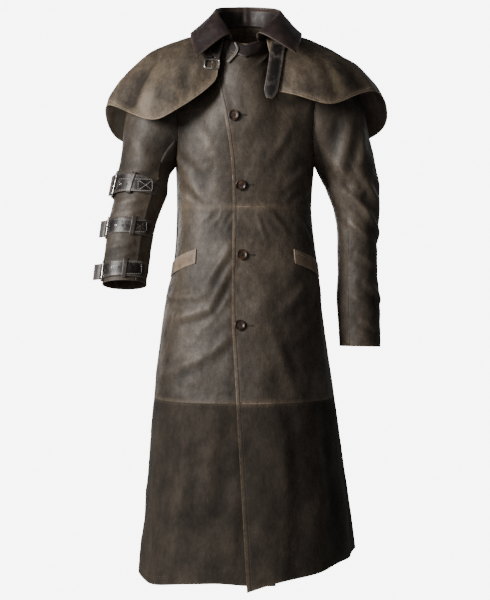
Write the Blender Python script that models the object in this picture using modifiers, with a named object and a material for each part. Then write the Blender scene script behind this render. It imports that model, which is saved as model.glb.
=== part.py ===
"""A full-length leather duster coat with a shoulder cape, hollow, filled out as if it were worn.

Heights in the tables are above the hem. The origin is in the neck, where the wearer carries the coat,
so every height has HOLD_HEIGHT taken off. The front faces -Y and the wearer's left side is +X.
"""

import math

import bmesh
import bpy
import numpy as np
from mathutils import Vector

# Driving dimensions in metres
HOLD_HEIGHT = 1.300
WAIST_SEAM = 0.883
KNEE_SEAM = 0.427
HEM = 0.0
LEATHER = 0.0016
COLLAR_LEATHER = 0.0022
STRAP_LEATHER = 0.0028
SEAM_GAP = 0.0003
REST_GAP = 0.0005
LAP_GAP = 0.0010
FRONT_LAP = 0.065
LAP_EASE = 0.050
UNDERLAP_SINK = 0.0050
BODY_SQUARENESS = 0.07

# Neck and armhole
NECK_HALF_WIDTH = 0.075
NECK_FRONT = 0.099
NECK_BACK = 0.073
NECK_MIDDLE = 0.5 * (NECK_BACK - NECK_FRONT)
ARMHOLE_MIDDLE = 1.119
ARMHOLE_HALF_HEIGHT = 0.137
ARMHOLE_HALF_DEPTH = 0.075
ARMHOLE_X = 0.1855
ARMHOLE_LEAN = 0.0195
ARMHOLE_HOLLOW = 0.024
SHOULDER_CROWN = 0.004
STAND_INSET = 0.0008
STAND_RISE = 0.0014
CAPE_RISE = 0.0030
COLLAR_LIFT = 0.0010
COLLAR_ROLL = 0.014
NECK_TURN = 26.0
NECK_STEPS = 5
SHOULDER_STEPS = 5
SHOULDER_TIP_GAP = 0.0014
ARMHOLE_STEP = 20.0
ARMHOLE_GAP = 0.0017

# Buttons and pockets
BUTTON_RADIUS = 0.0128
BUTTON_THICKNESS = 0.0042
BUTTON_GAP = 0.0008
WELT_WIDTH = 0.033
WELT_LEATHER = 0.0020
WELT_GAP = 0.0008
WELT_FRONT_TURN = 38.0
WELT_FRONT_HEIGHT = 0.767
WELT_SIDE_TURN = 82.0
WELT_SIDE_HEIGHT = 0.733

# Sleeve straps and the throat latch
SLEEVE_STRAP_WIDTH = 0.036
SLEEVE_RADIUS = 0.055
STRAP_GAP = 0.0011
BUCKLE_WIRE = 0.0016
BUCKLE_MARGIN = 0.0035
PRONG_WIRE = 0.0012
PRONG_GAP = 0.0012
CHAPE_LEATHER = 0.0020
CHAPE_DIAL = -70.0
CHAPE_CLEAR = 3.2
HEEL_DIAL = 8.0
TIP_DIAL = 27.0
TAIL_DIAL = 6.0
LIFT_DIAL = 23.0
HEEL_LIFT = 0.0044
KEEPER_WIDTH = 0.009
KEEPER_LEATHER = 0.0016
KEEPER_FOOT = 0.0028
TAB_AROUND = (0.004, 0.095)
TAB_DOWN = (0.10, 0.50)
TAB_SLOT_DOWN = 0.048
TAB_COLUMNS = (0.0, 0.39, 0.41, 0.59, 0.61, 1.0)
THROAT_BAR_DOWN = (0.535, 0.75)
THROAT_BAR_GAP = 0.0009
THROAT_FRAME_LONG = 0.034
THROAT_FRAME_TALL = 0.0225
THROAT_PRONG_HEEL = 0.04
THROAT_PRONG_TIP = 1.08

# Columns: height, right half width, left half width, front depth, back depth, left side set back
BODY_SECTIONS = (
    (0.000, 0.254, 0.268, 0.232, 0.262, 0.110),
    (0.200, 0.236, 0.244, 0.214, 0.245, 0.085),
    (0.427, 0.220, 0.214, 0.190, 0.218, 0.050),
    (0.600, 0.200, 0.191, 0.170, 0.193, 0.020),
    (0.750, 0.172, 0.173, 0.150, 0.170, 0.000),
    (0.883, 0.164, 0.160, 0.130, 0.144, 0.000),
    (0.980, 0.164, 0.162, 0.132, 0.140, 0.000),
    (1.080, 0.176, 0.176, 0.134, 0.144, 0.000),
    (1.180, 0.183, 0.183, 0.120, 0.138, 0.000),
    (1.260, 0.178, 0.178, 0.096, 0.105, 0.000),
    (1.335, 0.150, 0.150, 0.070, 0.075, 0.000),
)

# Columns: height, x of the left front's edge, which laps over the right front
FRONT_EDGE = (
    (0.000, 0.005),
    (0.226, -0.008),
    (0.457, -0.021),
    (0.643, -0.030),
    (0.840, -0.028),
    (0.970, -0.030),
    (1.099, -0.044),
    (1.205, -0.056),
    (1.300, -0.040),
)

# Columns: turn from the front, height of the hem on the wearer's right and on the left
HEM_LINE = (
    (0.0, 0.013, -0.003),
    (12.0, 0.018, 0.018),
    (30.0, 0.012, 0.029),
    (52.0, 0.000, 0.044),
    (90.0, 0.010, 0.034),
    (135.0, 0.006, 0.016),
    (180.0, 0.008, 0.008),
)

# Columns: turn round the neck in degrees, 0 in front and 180 behind, and height of the neck seam
NECK_SEAM = (
    (0.0, 1.258),
    (40.0, 1.278),
    (90.0, 1.303),
    (135.0, 1.321),
    (180.0, 1.330),
)

# Soft folds. Columns: turn and height of one end, turn and height of the other, spread, rise at each end
FOLDS = (
    (-9.0, 0.800, -27.0, 0.700, 0.022, 0.004, 0.008),
    (-8.0, 0.735, -52.0, 0.610, 0.024, 0.005, 0.011),
    (-7.0, 0.580, -62.0, 0.475, 0.026, 0.004, 0.009),
    (-62.0, 0.690, -92.0, 0.655, 0.016, 0.002, 0.007),
    (-16.0, 0.360, -24.0, -0.050, 0.030, 0.002, 0.010),
    (-48.0, 0.380, -52.0, -0.050, 0.030, 0.002, 0.012),
    (-78.0, 0.420, -80.0, -0.050, 0.030, 0.000, 0.010),
    (13.0, 0.560, 13.0, -0.050, 0.036, 0.003, 0.010),
    (36.0, 0.500, 37.0, -0.050, 0.030, 0.003, 0.013),
    (64.0, 0.620, 62.0, -0.050, 0.028, 0.003, 0.014),
    (92.0, 0.560, 90.0, -0.050, 0.030, 0.002, 0.014),
    (-108.0, 0.520, -108.0, -0.050, 0.032, 0.002, 0.014),
    (-138.0, 0.600, -136.0, -0.050, 0.034, 0.003, 0.016),
    (-164.0, 0.560, -165.0, -0.050, 0.028, 0.002, 0.012),
    (118.0, 0.540, 118.0, -0.050, 0.032, 0.002, 0.014),
    (144.0, 0.620, 142.0, -0.050, 0.034, 0.003, 0.016),
    (170.0, 0.560, 168.0, -0.050, 0.026, 0.002, 0.010),
)
FOLD_RADIUS = 0.200

# Columns: station, inner x, inner height, outer x, outer height, middle y, half depth
RIGHT_SLEEVE = (
    (1.0, -0.1830, 0.962, -0.2920, 1.075, -0.008, 0.072),
    (2.0, -0.1870, 0.925, -0.3000, 1.000, -0.018, 0.070),
    (3.0, -0.1885, 0.907, -0.3138, 0.922, -0.032, 0.066),
    (4.0, -0.2085, 0.850, -0.3220, 0.862, -0.048, 0.058),
    (5.0, -0.2195, 0.798, -0.3290, 0.803, -0.064, 0.053),
    (6.0, -0.2258, 0.748, -0.3327, 0.750, -0.078, 0.050),
    (7.0, -0.2327, 0.699, -0.3373, 0.700, -0.092, 0.046),
)
LEFT_SLEEVE = (
    (1.0, 0.1790, 0.962, 0.2970, 1.082, 0.000, 0.071),
    (2.0, 0.1950, 0.930, 0.3140, 1.000, 0.000, 0.069),
    (3.0, 0.2040, 0.900, 0.3266, 0.922, 0.000, 0.066),
    (4.0, 0.2180, 0.860, 0.3255, 0.866, -0.002, 0.061),
    (5.0, 0.2245, 0.800, 0.3220, 0.802, -0.006, 0.055),
    (6.0, 0.2262, 0.720, 0.3200, 0.720, -0.010, 0.052),
    (7.0, 0.2240, 0.630, 0.3235, 0.629, -0.016, 0.049),
    (8.0, 0.2284, 0.550, 0.3266, 0.548, -0.022, 0.046),
)

# The cape's halves. Columns: turn round the neck, then x, y and height a third of the way down, at two
# thirds, and at the hem
CAPE_RIGHT = (
    (40.0, -0.0560, -0.104, 1.245, -0.0620, -0.118, 1.211, -0.0665, -0.128, 1.178),
    (52.0, -0.0780, -0.101, 1.254, -0.0950, -0.122, 1.205, -0.1080, -0.140, 1.141),
    (63.0, -0.0980, -0.089, 1.266, -0.1280, -0.122, 1.208, -0.1520, -0.147, 1.112),
    (73.0, -0.1220, -0.068, 1.276, -0.1680, -0.108, 1.214, -0.2020, -0.145, 1.084),
    (80.0, -0.1420, -0.045, 1.283, -0.2080, -0.078, 1.227, -0.2420, -0.112, 1.087),
    (86.0, -0.1550, -0.022, 1.285, -0.2440, -0.042, 1.235, -0.3040, -0.092, 1.124),
    (92.0, -0.1630, 0.000, 1.285, -0.2620, -0.005, 1.237, -0.3380, -0.030, 1.132),
    (101.0, -0.1580, 0.028, 1.286, -0.2550, 0.040, 1.233, -0.3320, 0.055, 1.075),
    (118.0, -0.1300, 0.062, 1.290, -0.2050, 0.098, 1.225, -0.2700, 0.128, 1.040),
    (145.0, -0.0700, 0.092, 1.298, -0.1150, 0.135, 1.220, -0.1500, 0.182, 1.030),
    (180.0, 0.0000, 0.100, 1.300, 0.0000, 0.145, 1.225, 0.0000, 0.188, 1.028),
)
CAPE_LEFT = (
    (40.0, 0.0580, -0.103, 1.243, 0.0680, -0.119, 1.203, 0.0787, -0.132, 1.151),
    (52.0, 0.0800, -0.100, 1.254, 0.1000, -0.123, 1.204, 0.1187, -0.142, 1.142),
    (63.0, 0.1000, -0.088, 1.266, 0.1320, -0.122, 1.211, 0.1600, -0.146, 1.129),
    (73.0, 0.1240, -0.067, 1.276, 0.1720, -0.108, 1.222, 0.2050, -0.142, 1.119),
    (80.0, 0.1440, -0.044, 1.283, 0.2100, -0.076, 1.231, 0.2480, -0.112, 1.138),
    (86.0, 0.1560, -0.021, 1.285, 0.2430, -0.042, 1.236, 0.2920, -0.085, 1.163),
    (92.0, 0.1640, 0.001, 1.285, 0.2600, -0.003, 1.237, 0.3300, -0.030, 1.158),
    (101.0, 0.1590, 0.029, 1.286, 0.2560, 0.042, 1.233, 0.3520, 0.065, 1.100),
    (118.0, 0.1310, 0.062, 1.290, 0.2070, 0.100, 1.226, 0.2850, 0.135, 1.048),
    (145.0, 0.0700, 0.092, 1.298, 0.1160, 0.136, 1.221, 0.1550, 0.184, 1.030),
    (180.0, 0.0000, 0.100, 1.300, 0.0000, 0.145, 1.225, 0.0000, 0.188, 1.028),
)

# Columns: turn from the centre back, x, y and height of the collar's fold, x, y and height of its edge,
# how far the leather stands out and rises on its way to that edge
COLLAR = (
    (-155.0, -0.0310, -0.104, 1.279, -0.1130, -0.140, 1.228, 0.018, 0.010),
    (-130.0, -0.0560, -0.086, 1.322, -0.1230, -0.108, 1.262, 0.018, 0.010),
    (-100.0, -0.0650, -0.045, 1.345, -0.1290, -0.050, 1.297, 0.008, -0.012),
    (-55.0, -0.0600, 0.034, 1.366, -0.1060, 0.064, 1.306, 0.010, -0.010),
    (0.0, 0.0080, 0.070, 1.372, 0.0050, 0.118, 1.308, 0.018, 0.006),
    (55.0, 0.0700, 0.034, 1.364, 0.1120, 0.064, 1.306, 0.010, -0.010),
    (100.0, 0.0800, -0.045, 1.342, 0.1350, -0.048, 1.297, 0.008, -0.010),
    (130.0, 0.0620, -0.088, 1.316, 0.1290, -0.108, 1.268, 0.018, 0.010),
    (155.0, 0.0270, -0.105, 1.281, 0.1180, -0.140, 1.238, 0.018, 0.010),
)

# Columns: height and x of each button
BUTTONS = (
    (1.096, -0.0234),
    (0.934, -0.0094),
    (0.770, -0.0070),
    (0.607, -0.0116),
)

# Columns: height of the strap, dial of its sewn end, dial of its keeper, length of its free tail
SLEEVE_STRAPS = (
    (0.921, 128.0, 70.0, 0.012),
    (0.825, 146.0, 96.0, 0.020),
    (0.727, 148.0, 90.0, 0.024),
)

# The loose latch strap. Columns: share down it, x, y, height, half width
LATCH_STRAP = (
    (0.00, 0.0780, -0.0987, 1.268, 0.0165),
    (0.25, 0.0740, -0.1137, 1.238, 0.0165),
    (0.50, 0.0690, -0.1272, 1.204, 0.0160),
    (0.75, 0.0630, -0.1377, 1.168, 0.0155),
    (0.93, 0.0585, -0.1405, 1.145, 0.0140),
    (1.00, 0.0565, -0.1405, 1.135, 0.0060),
)
LATCH_BOW = 0.0010

# Colours and finishes. Columns: name, colour, roughness, metallic
FINISHES = {
    "body_leather": ((0.150, 0.121, 0.098), 0.55, 0.0),
    "cape_leather": ((0.168, 0.128, 0.086), 0.65, 0.0),
    "lower_suede": ((0.090, 0.060, 0.034), 0.80, 0.0),
    "collar_leather": ((0.042, 0.028, 0.027), 0.45, 0.0),
    "strap_leather": ((0.030, 0.022, 0.022), 0.35, 0.0),
    "welt_leather": ((0.220, 0.163, 0.115), 0.60, 0.0),
    "buckle_metal": ((0.780, 0.780, 0.790), 0.22, 1.0),
    "button_horn": ((0.050, 0.028, 0.018), 0.35, 0.0),
}


def clear_scene():
    """Removes every object that the file opened with."""
    for thing in list(bpy.data.objects):
        bpy.data.objects.remove(thing, do_unlink=True)


def new_collection():
    """The collection that holds the coat's pieces."""
    collection = bpy.data.collections.new("duster_coat")
    bpy.context.scene.collection.children.link(collection)
    return collection


def make_materials():
    """One Principled material for each finish."""
    made = {}
    for name, (colour, roughness, metallic) in FINISHES.items():
        material = bpy.data.materials.new(name)
        material.use_nodes = True
        shader = material.node_tree.nodes["Principled BSDF"]
        shader.inputs["Base Color"].default_value = (*colour, 1.0)
        shader.inputs["Roughness"].default_value = roughness
        shader.inputs["Metallic"].default_value = metallic
        made[name] = material
    return made


def ease(share):
    """A soft step from 0 to 1."""
    share = min(max(share, 0.0), 1.0)
    return share * share * (3.0 - 2.0 * share)


def mix(start, end, share):
    """The point or number at a share of the way."""
    return start + (end - start) * share


def curve_through(rows):
    """A smooth curve through a table's rows. The first column is the key, the rest are its values."""
    table = np.array(rows, dtype=float)
    keys = table[:, 0]
    values = table[:, 1:]
    slopes = np.gradient(values, keys, axis=0)

    def at(key):
        key = min(max(key, keys[0]), keys[-1])
        high = int(np.clip(np.searchsorted(keys, key), 1, len(keys) - 1))
        low = high - 1
        span = keys[high] - keys[low]
        share = (key - keys[low]) / span
        rise = ease(share)
        leave = (share**3 - 2.0 * share**2 + share) * span
        arrive = (share**3 - share**2) * span
        straight = (1.0 - rise) * values[low] + rise * values[high]
        return straight + leave * slopes[low] + arrive * slopes[high]

    return at


body_section = curve_through(BODY_SECTIONS)
front_edge = curve_through(FRONT_EDGE)
neck_height = curve_through(NECK_SEAM)
collar_row = curve_through(COLLAR)
hem_line = curve_through(HEM_LINE)


def place(x, y, height):
    """A point from its height above the hem."""
    return np.array((x, y, height - HOLD_HEIGHT))


def fold_rise(turn, height):
    """How far the folds lift the leather at a turn and height."""
    total = 0.0
    for turn_a, height_a, turn_b, height_b, spread, rise_a, rise_b in FOLDS:
        run = math.radians(turn_b - turn_a) * FOLD_RADIUS
        drop = height_b - height_a
        out = math.radians(turn - turn_a) * FOLD_RADIUS
        down = height - height_a
        share = (out * run + down * drop) / (run * run + drop * drop)
        share = min(max(share, 0.0), 1.0)
        away = math.hypot(out - run * share, down - drop * share)
        total += mix(rise_a, rise_b, share) * math.exp(-((away / spread) ** 2))
    return total


def body_ring(turn, height):
    """x and y of the body without its folds. Turn is 0 in front, 90 on the wearer's left."""
    right, left, front, back, set_back = body_section(height)
    angle = math.radians(turn)
    square = BODY_SQUARENESS * math.sin(2.0 * angle)
    half = left if turn > 0.0 else right
    side_y = set_back if turn > 0.0 else 0.0
    reach = front + side_y if abs(turn) < 90.0 else back - side_y
    return half * math.sin(angle + square), side_y - reach * math.cos(angle - square)


def body(turn, height):
    """A point on the inside of the body's leather."""
    x, y = body_ring(turn, height)
    rise = fold_rise(turn, height)
    angle = math.radians(turn)
    return place(x + rise * math.sin(angle), y - rise * math.cos(angle), height)


def neckline(turn):
    """A point on the neck seam."""
    angle = math.radians(turn)
    reach = 0.5 * (NECK_BACK + NECK_FRONT)
    x = NECK_HALF_WIDTH * math.sin(angle)
    return place(x, NECK_MIDDLE - reach * math.cos(angle), neck_height(abs(turn))[0])


def armhole(side, dial):
    """A point on the armhole seam. Dial is 0 at the shoulder, 90 in front and 180 under the arm."""
    angle = math.radians(dial)
    height = ARMHOLE_MIDDLE + ARMHOLE_HALF_HEIGHT * math.cos(angle)
    x = ARMHOLE_X + ARMHOLE_LEAN * math.cos(angle) - ARMHOLE_HOLLOW * math.sin(angle) ** 2
    return place(side * x, -ARMHOLE_HALF_DEPTH * math.sin(angle), height)


def ring_turn(column, target, height, low, high):
    """The turn between two others at which the body's x or y, by column, reaches a target."""
    rising = body_ring(high, height)[column] > body_ring(low, height)[column]
    for _ in range(30):
        middle = 0.5 * (low + high)
        if (body_ring(middle, height)[column] < target) == rising:
            low = middle
        else:
            high = middle
    return 0.5 * (low + high)


def armhole_dial(height):
    """The armhole's dial at a height: 180 at and below the underarm, 0 at and above the shoulder."""
    share = (height - ARMHOLE_MIDDLE) / ARMHOLE_HALF_HEIGHT
    return math.degrees(math.acos(min(max(share, -1.0), 1.0)))


def side_end(height, is_front):
    """The turn, without its sign, at which the body reaches the side seam or the armhole."""
    depth = ARMHOLE_HALF_DEPTH * math.sin(math.radians(armhole_dial(height)))
    if depth < 1e-6:
        return 90.0
    if is_front:
        return ring_turn(1, -depth, height, 20.0, 90.0)
    return ring_turn(1, depth, height, 90.0, 160.0)


UNDERARM = ARMHOLE_MIDDLE - ARMHOLE_HALF_HEIGHT
SHOULDER_TIP = ARMHOLE_MIDDLE + ARMHOLE_HALF_HEIGHT
SAMPLE_HEIGHTS = np.concatenate(
    (
        np.linspace(-0.010, UNDERARM, 200),
        ARMHOLE_MIDDLE - ARMHOLE_HALF_HEIGHT * np.cos(np.radians(np.arange(2.0, 180.0, 2.0))),
        np.linspace(SHOULDER_TIP, 1.340, 18),
    )
)
EDGE_TURNS = {
    shift: [ring_turn(0, front_edge(h)[0] + shift, h, -90.0, 90.0) for h in SAMPLE_HEIGHTS]
    for shift in (0.0, FRONT_LAP)
}
SIDE_TURNS = {front: [side_end(h, front) for h in SAMPLE_HEIGHTS] for front in (True, False)}


def panel_turn(quarter, share, height):
    """The turn of a panel's column at a height: share 0 at the closing, 1 at the side seam."""
    side, is_front = quarter
    half_gap = math.degrees(0.5 * SEAM_GAP / 0.17)
    end = np.interp(height, SAMPLE_HEIGHTS, SIDE_TURNS[is_front])
    if not is_front:
        return side * mix(180.0 - half_gap, end + half_gap, share)
    start = np.interp(height, SAMPLE_HEIGHTS, EDGE_TURNS[0.0 if side > 0 else FRONT_LAP])
    return mix(start, side * (end - half_gap), share)


def chest_top(turn):
    """A point on the chest's top edge: the neck seam, then the shoulder seam to its tip."""
    side = 1.0 if turn > 0.0 else -1.0
    is_front = abs(turn) < 90.0
    reach = abs(turn) if is_front else 180.0 - abs(turn)
    apart = np.array((0.0, -0.5 if is_front else 0.5, 0.0))
    if reach <= NECK_TURN:
        round_neck = 90.0 * reach / NECK_TURN
        return neckline(side * (round_neck if is_front else 180.0 - round_neck)) + apart * SEAM_GAP
    along = min((reach - NECK_TURN) / (90.0 - NECK_TURN), 1.0)
    point = mix(neckline(side * 90.0), armhole(side, 0.0), along)
    point += apart * mix(SEAM_GAP, SHOULDER_TIP_GAP, along)
    return point + np.array((0.0, 0.0, SHOULDER_CROWN * math.sin(math.pi * along)))


def chest_at(turn, height):
    """The chest's surface, eased onto the neck and shoulder seams at its top."""
    top = chest_top(turn)
    top_height = top[2] + HOLD_HEIGHT
    up = (height - WAIST_SEAM) / (top_height - WAIST_SEAM)
    return body(turn, height) + (top - body(turn, top_height)) * ease((up - 0.3) / 0.7)


def chest_columns(quarter):
    """The shares across a chest panel whose columns end on the corners of its top edge."""
    side, is_front = quarter
    start = side * panel_turn(quarter, 0.0, NECK_SEAM[0][1]) if is_front else 0.0
    reaches = [mix(start, NECK_TURN, step / NECK_STEPS) for step in range(NECK_STEPS)]
    reaches += [mix(NECK_TURN, 90.0, step / SHOULDER_STEPS) for step in range(SHOULDER_STEPS + 1)]
    shares = []
    for reach in reaches:
        turn = side * (reach if is_front else 180.0 - reach)
        height = chest_top(turn)[2] + HOLD_HEIGHT
        first = panel_turn(quarter, 0.0, height)
        last = panel_turn(quarter, 1.0, height)
        shares.append((turn - first) / (last - first))
    shares[0] = 0.0
    shares[-1] = 1.0
    return shares


def chest_rows():
    """The shares up a chest panel, whose rows end on the points that the sleeve's seam has."""
    heights = [mix(WAIST_SEAM, UNDERARM, step / 3.0) for step in range(3)]
    for dial in np.arange(180.0, -1.0, -ARMHOLE_STEP):
        heights.append(ARMHOLE_MIDDLE + ARMHOLE_HALF_HEIGHT * math.cos(math.radians(dial)))
    return [(height - WAIST_SEAM) / (SHOULDER_TIP - WAIST_SEAM) for height in heights]


def chest(quarter):
    """The surface of a chest panel, by share across and share up from the waist seam."""
    side, is_front = quarter

    def surface(across, up):
        top_height = SHOULDER_TIP
        for _ in range(5):
            top_height = chest_top(panel_turn(quarter, across, top_height))[2] + HOLD_HEIGHT
        height = mix(WAIST_SEAM + 0.5 * SEAM_GAP, top_height, up)
        point = chest_at(panel_turn(quarter, across, height), height)
        pull = ease((across - 0.45) / 0.55)
        side_height = mix(WAIST_SEAM + 0.5 * SEAM_GAP, SHOULDER_TIP, up)
        sewn_height = max(side_height, UNDERARM)
        dial = armhole_dial(sewn_height) * (1.0 if is_front else -1.0)
        gap = mix(SEAM_GAP, SHOULDER_TIP_GAP, 0.5 + 0.5 * math.cos(math.radians(dial)))
        sewn = armhole(side, dial) + np.array((0.0, -0.5 * gap if is_front else 0.5 * gap, 0.0))
        loose = chest_at(panel_turn(quarter, 1.0, sewn_height), sewn_height)
        rise = ease((side_height - WAIST_SEAM) / (UNDERARM - WAIST_SEAM))
        return point + (sewn - loose) * rise * pull

    return surface


def skirt(quarter, low, high):
    """The surface of a skirt panel between two heights, by share across and share up."""

    def surface(across, up):
        height = mix(low, high, up)
        return body(panel_turn(quarter, across, height), height)

    return surface


def lower(quarter):
    """The surface of a lower panel, from its uneven hem up to the knee seam."""
    side, _ = quarter

    def surface(across, up):
        reach = max(side * panel_turn(quarter, across, HEM), 0.0)
        low = hem_line(reach)[1 if side > 0.0 else 0]
        height = mix(low, KNEE_SEAM - 0.5 * SEAM_GAP, up)
        return body(panel_turn(quarter, across, height), height)

    return surface


def through_four(first, second, third, fourth, share):
    """The point at a share along the cubic through four evenly spaced points."""
    a = 3.0 * share - 1.0
    b = 3.0 * share - 2.0
    c = share - 1.0
    return (
        0.5 * first * -a * b * c * 1.0
        + 4.5 * second * share * b * c
        - 4.5 * third * share * a * c
        + 0.5 * fourth * share * a * b
    )


def cape(rows, side):
    """The surface of one half of the cape, by share round from its front edge and share down."""
    table = curve_through(rows)

    def surface(around, down):
        turn = mix(rows[0][0], rows[-1][0], around)
        row = table(turn)
        seam = neckline(side * turn)
        out = np.array((seam[0], seam[1] - NECK_MIDDLE, 0.0))
        out /= np.linalg.norm(out)
        start = seam + out * (COLLAR_LEATHER + REST_GAP) + np.array((0.0, 0.0, CAPE_RISE))
        if around >= 0.999:
            start[0] = 0.0
        point = through_four(start, place(*row[:3]), place(*row[3:6]), place(*row[6:]), down)
        return point + np.array((side * 0.5 * SEAM_GAP, 0.0, 0.0))

    return surface


def collar_fold(turn):
    """The top of the collar stand, where the collar folds over."""
    return place(*collar_row(turn)[:3])


def stand(around, up):
    """The surface of the collar stand."""
    turn = mix(COLLAR[0][0], COLLAR[-1][0], around)
    from_front = 180.0 - abs(turn)
    side = 1.0 if turn > 0.0 else -1.0
    base = neckline(side * from_front)
    out = np.array((base[0], base[1] - NECK_MIDDLE, 0.0))
    base -= out / np.linalg.norm(out) * (COLLAR_LEATHER + STAND_INSET)
    base[2] += STAND_RISE
    return mix(base, collar_fold(turn), up)


def collar(around, down):
    """The underside of the collar, from its fold over and down to its edge."""
    turn = mix(COLLAR[0][0], COLLAR[-1][0], around)
    fold = collar_fold(turn)
    edge = place(*collar_row(turn)[3:6])
    stand_out, rise_over = collar_row(turn)[6:]
    run = collar_fold(turn + 1.0) - collar_fold(turn - 1.0)
    out = np.array((-run[1], run[0], 0.0))
    out /= np.linalg.norm(out)
    start = fold + out * COLLAR_LEATHER + np.array((0.0, 0.0, COLLAR_LIFT))
    rise = start + np.array((0.0, 0.0, COLLAR_ROLL))
    over = start + out * stand_out + np.array((0.0, 0.0, rise_over))
    rest = 1.0 - down
    point = rest**3 * start + 3.0 * rest**2 * down * rise
    return point + 3.0 * rest * down**2 * over + down**3 * edge


def sleeve(rows, side):
    """The inside of a sleeve, by dial round it and station along it. Station 0 is the armhole."""
    table = curve_through(rows)

    def ring(dial, station):
        inner_x, inner_up, outer_x, outer_up, y, depth = table(station)
        inner = place(inner_x, y, inner_up)
        outer = place(outer_x, y, outer_up)
        step = 0.05
        near = table(max(station - step, rows[0][0]))
        far = table(min(station + step, rows[-1][0]))
        along = np.array(
            (
                0.5 * (far[0] + far[2] - near[0] - near[2]),
                far[4] - near[4],
                0.5 * (far[1] + far[3] - near[1] - near[3]),
            )
        )
        wide = 0.5 * (outer - inner)
        front = np.cross(wide, along) * (1.0 if side < 0 else -1.0)
        front *= depth / np.linalg.norm(front)
        angle = math.radians(dial)
        return 0.5 * (inner + outer) + wide * math.cos(angle) + front * math.sin(angle)

    def surface(dial, station):
        if station >= 1.0:
            return ring(dial, station)
        start = armhole(side, dial) + np.array((side * (LEATHER + ARMHOLE_GAP), 0.0, 0.0))
        end = ring(dial, 1.0)
        crown = 0.5 + 0.5 * math.cos(math.radians(dial))
        middle = mix(start, end, 0.5)
        middle[0] = mix(start[0], end[0], 0.5 + 0.35 * crown)
        middle[2] = mix(start[2], end[2], 0.5 - 0.38 * crown)
        rest = 1.0 - station
        return rest * rest * start + 2.0 * rest * station * middle + station * station * end

    return surface


class Sheet:
    """A grid of points on a surface, with the outward direction at each."""

    def __init__(self, surface, columns, rows, outward):
        step_u = 1e-3 * abs(columns[-1] - columns[0])
        step_v = 1e-3 * abs(rows[-1] - rows[0])
        self.points = np.array([[surface(u, v) for u in columns] for v in rows])
        self.normals = np.zeros_like(self.points)
        for i, v in enumerate(rows):
            for j, u in enumerate(columns):
                along = surface(u + step_u, v) - surface(u - step_u, v)
                down = surface(u, v + step_v) - surface(u, v - step_v)
                normal = np.cross(along, down) * outward
                self.normals[i, j] = normal / np.linalg.norm(normal)

    def layer(self, offset):
        """The grid moved out by a distance, or by one for each point."""
        offset = np.broadcast_to(offset, self.points.shape[:2])
        return self.points + self.normals * offset[..., None]


class Workshop:
    """Makes the coat's pieces in one collection."""

    def __init__(self):
        self.collection = new_collection()
        self.materials = make_materials()

    def add_mesh(self, name, mesh, finish):
        """Links a mesh as a named piece with its material."""
        mesh.materials.append(self.materials[finish])
        piece = bpy.data.objects.new(name, mesh)
        self.collection.objects.link(piece)
        return piece

    def wall(self, name, inside, outside, finish):
        """A closed wall between two layers of a grid."""
        count_v, count_u = inside.shape[:2]
        shape = bmesh.new()
        inner = [[shape.verts.new(point) for point in row] for row in inside]
        outer = [[shape.verts.new(point) for point in row] for row in outside]
        for i in range(count_v - 1):
            for j in range(count_u - 1):
                for grid in (inner, outer):
                    shape.faces.new((grid[i][j], grid[i][j + 1], grid[i + 1][j + 1], grid[i + 1][j]))
        for j in range(count_u - 1):
            for i in (0, count_v - 1):
                shape.faces.new((inner[i][j], inner[i][j + 1], outer[i][j + 1], outer[i][j]))
        for i in range(count_v - 1):
            for j in (0, count_u - 1):
                shape.faces.new((inner[i][j], inner[i + 1][j], outer[i + 1][j], outer[i][j]))
        bmesh.ops.recalc_face_normals(shape, faces=shape.faces)
        mesh = bpy.data.meshes.new(name)
        shape.to_mesh(mesh)
        shape.free()
        mesh.shade_smooth()
        mesh.set_sharp_from_angle(angle=math.radians(40.0))
        return self.add_mesh(name, mesh, finish)

    def wire(self, name, points, radius, finish, closed=False, origin=(0.0, 0.0, 0.0)):
        """A round wire through points, which are measured from its origin."""
        curve = bpy.data.curves.new(name, "CURVE")
        curve.dimensions = "3D"
        curve.bevel_depth = radius
        curve.bevel_resolution = 1
        curve.use_fill_caps = True
        spline = curve.splines.new("POLY")
        spline.points.add(len(points) - 1)
        spline.use_cyclic_u = closed
        for knot, point in zip(spline.points, points):
            knot.co = (*point, 1.0)
        curve.materials.append(self.materials[finish])
        piece = bpy.data.objects.new(name, curve)
        piece.location = origin
        self.collection.objects.link(piece)
        return piece


QUARTERS = {
    "front_right": (-1.0, True),
    "front_left": (1.0, True),
    "back_right": (-1.0, False),
    "back_left": (1.0, False),
}


def lap_offset(quarter, points):
    """How far a front stands out or in, because the left front lies on the right one."""
    lap = np.zeros(points.shape[:2])
    side, is_front = quarter
    if not is_front:
        return lap
    for i, row in enumerate(points):
        for j, point in enumerate(row):
            edge = front_edge(point[2] + HOLD_HEIGHT)[0]
            if side > 0:
                past = (point[0] - edge - FRONT_LAP - 0.012) / LAP_EASE
                lap[i, j] = (LEATHER + LAP_GAP) * (1.0 - ease(past))
            else:
                lap[i, j] = -UNDERLAP_SINK * ease((point[0] - edge + 0.010) / 0.030)
    return lap


def body_sheet(quarter, surface, columns, rows):
    """The grid of a body panel, and its lap."""
    side, is_front = quarter
    outward = 1.0 if (side > 0) == is_front else -1.0
    sheet = Sheet(surface, columns, rows, outward)
    return sheet, lap_offset(quarter, sheet.points)


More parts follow.
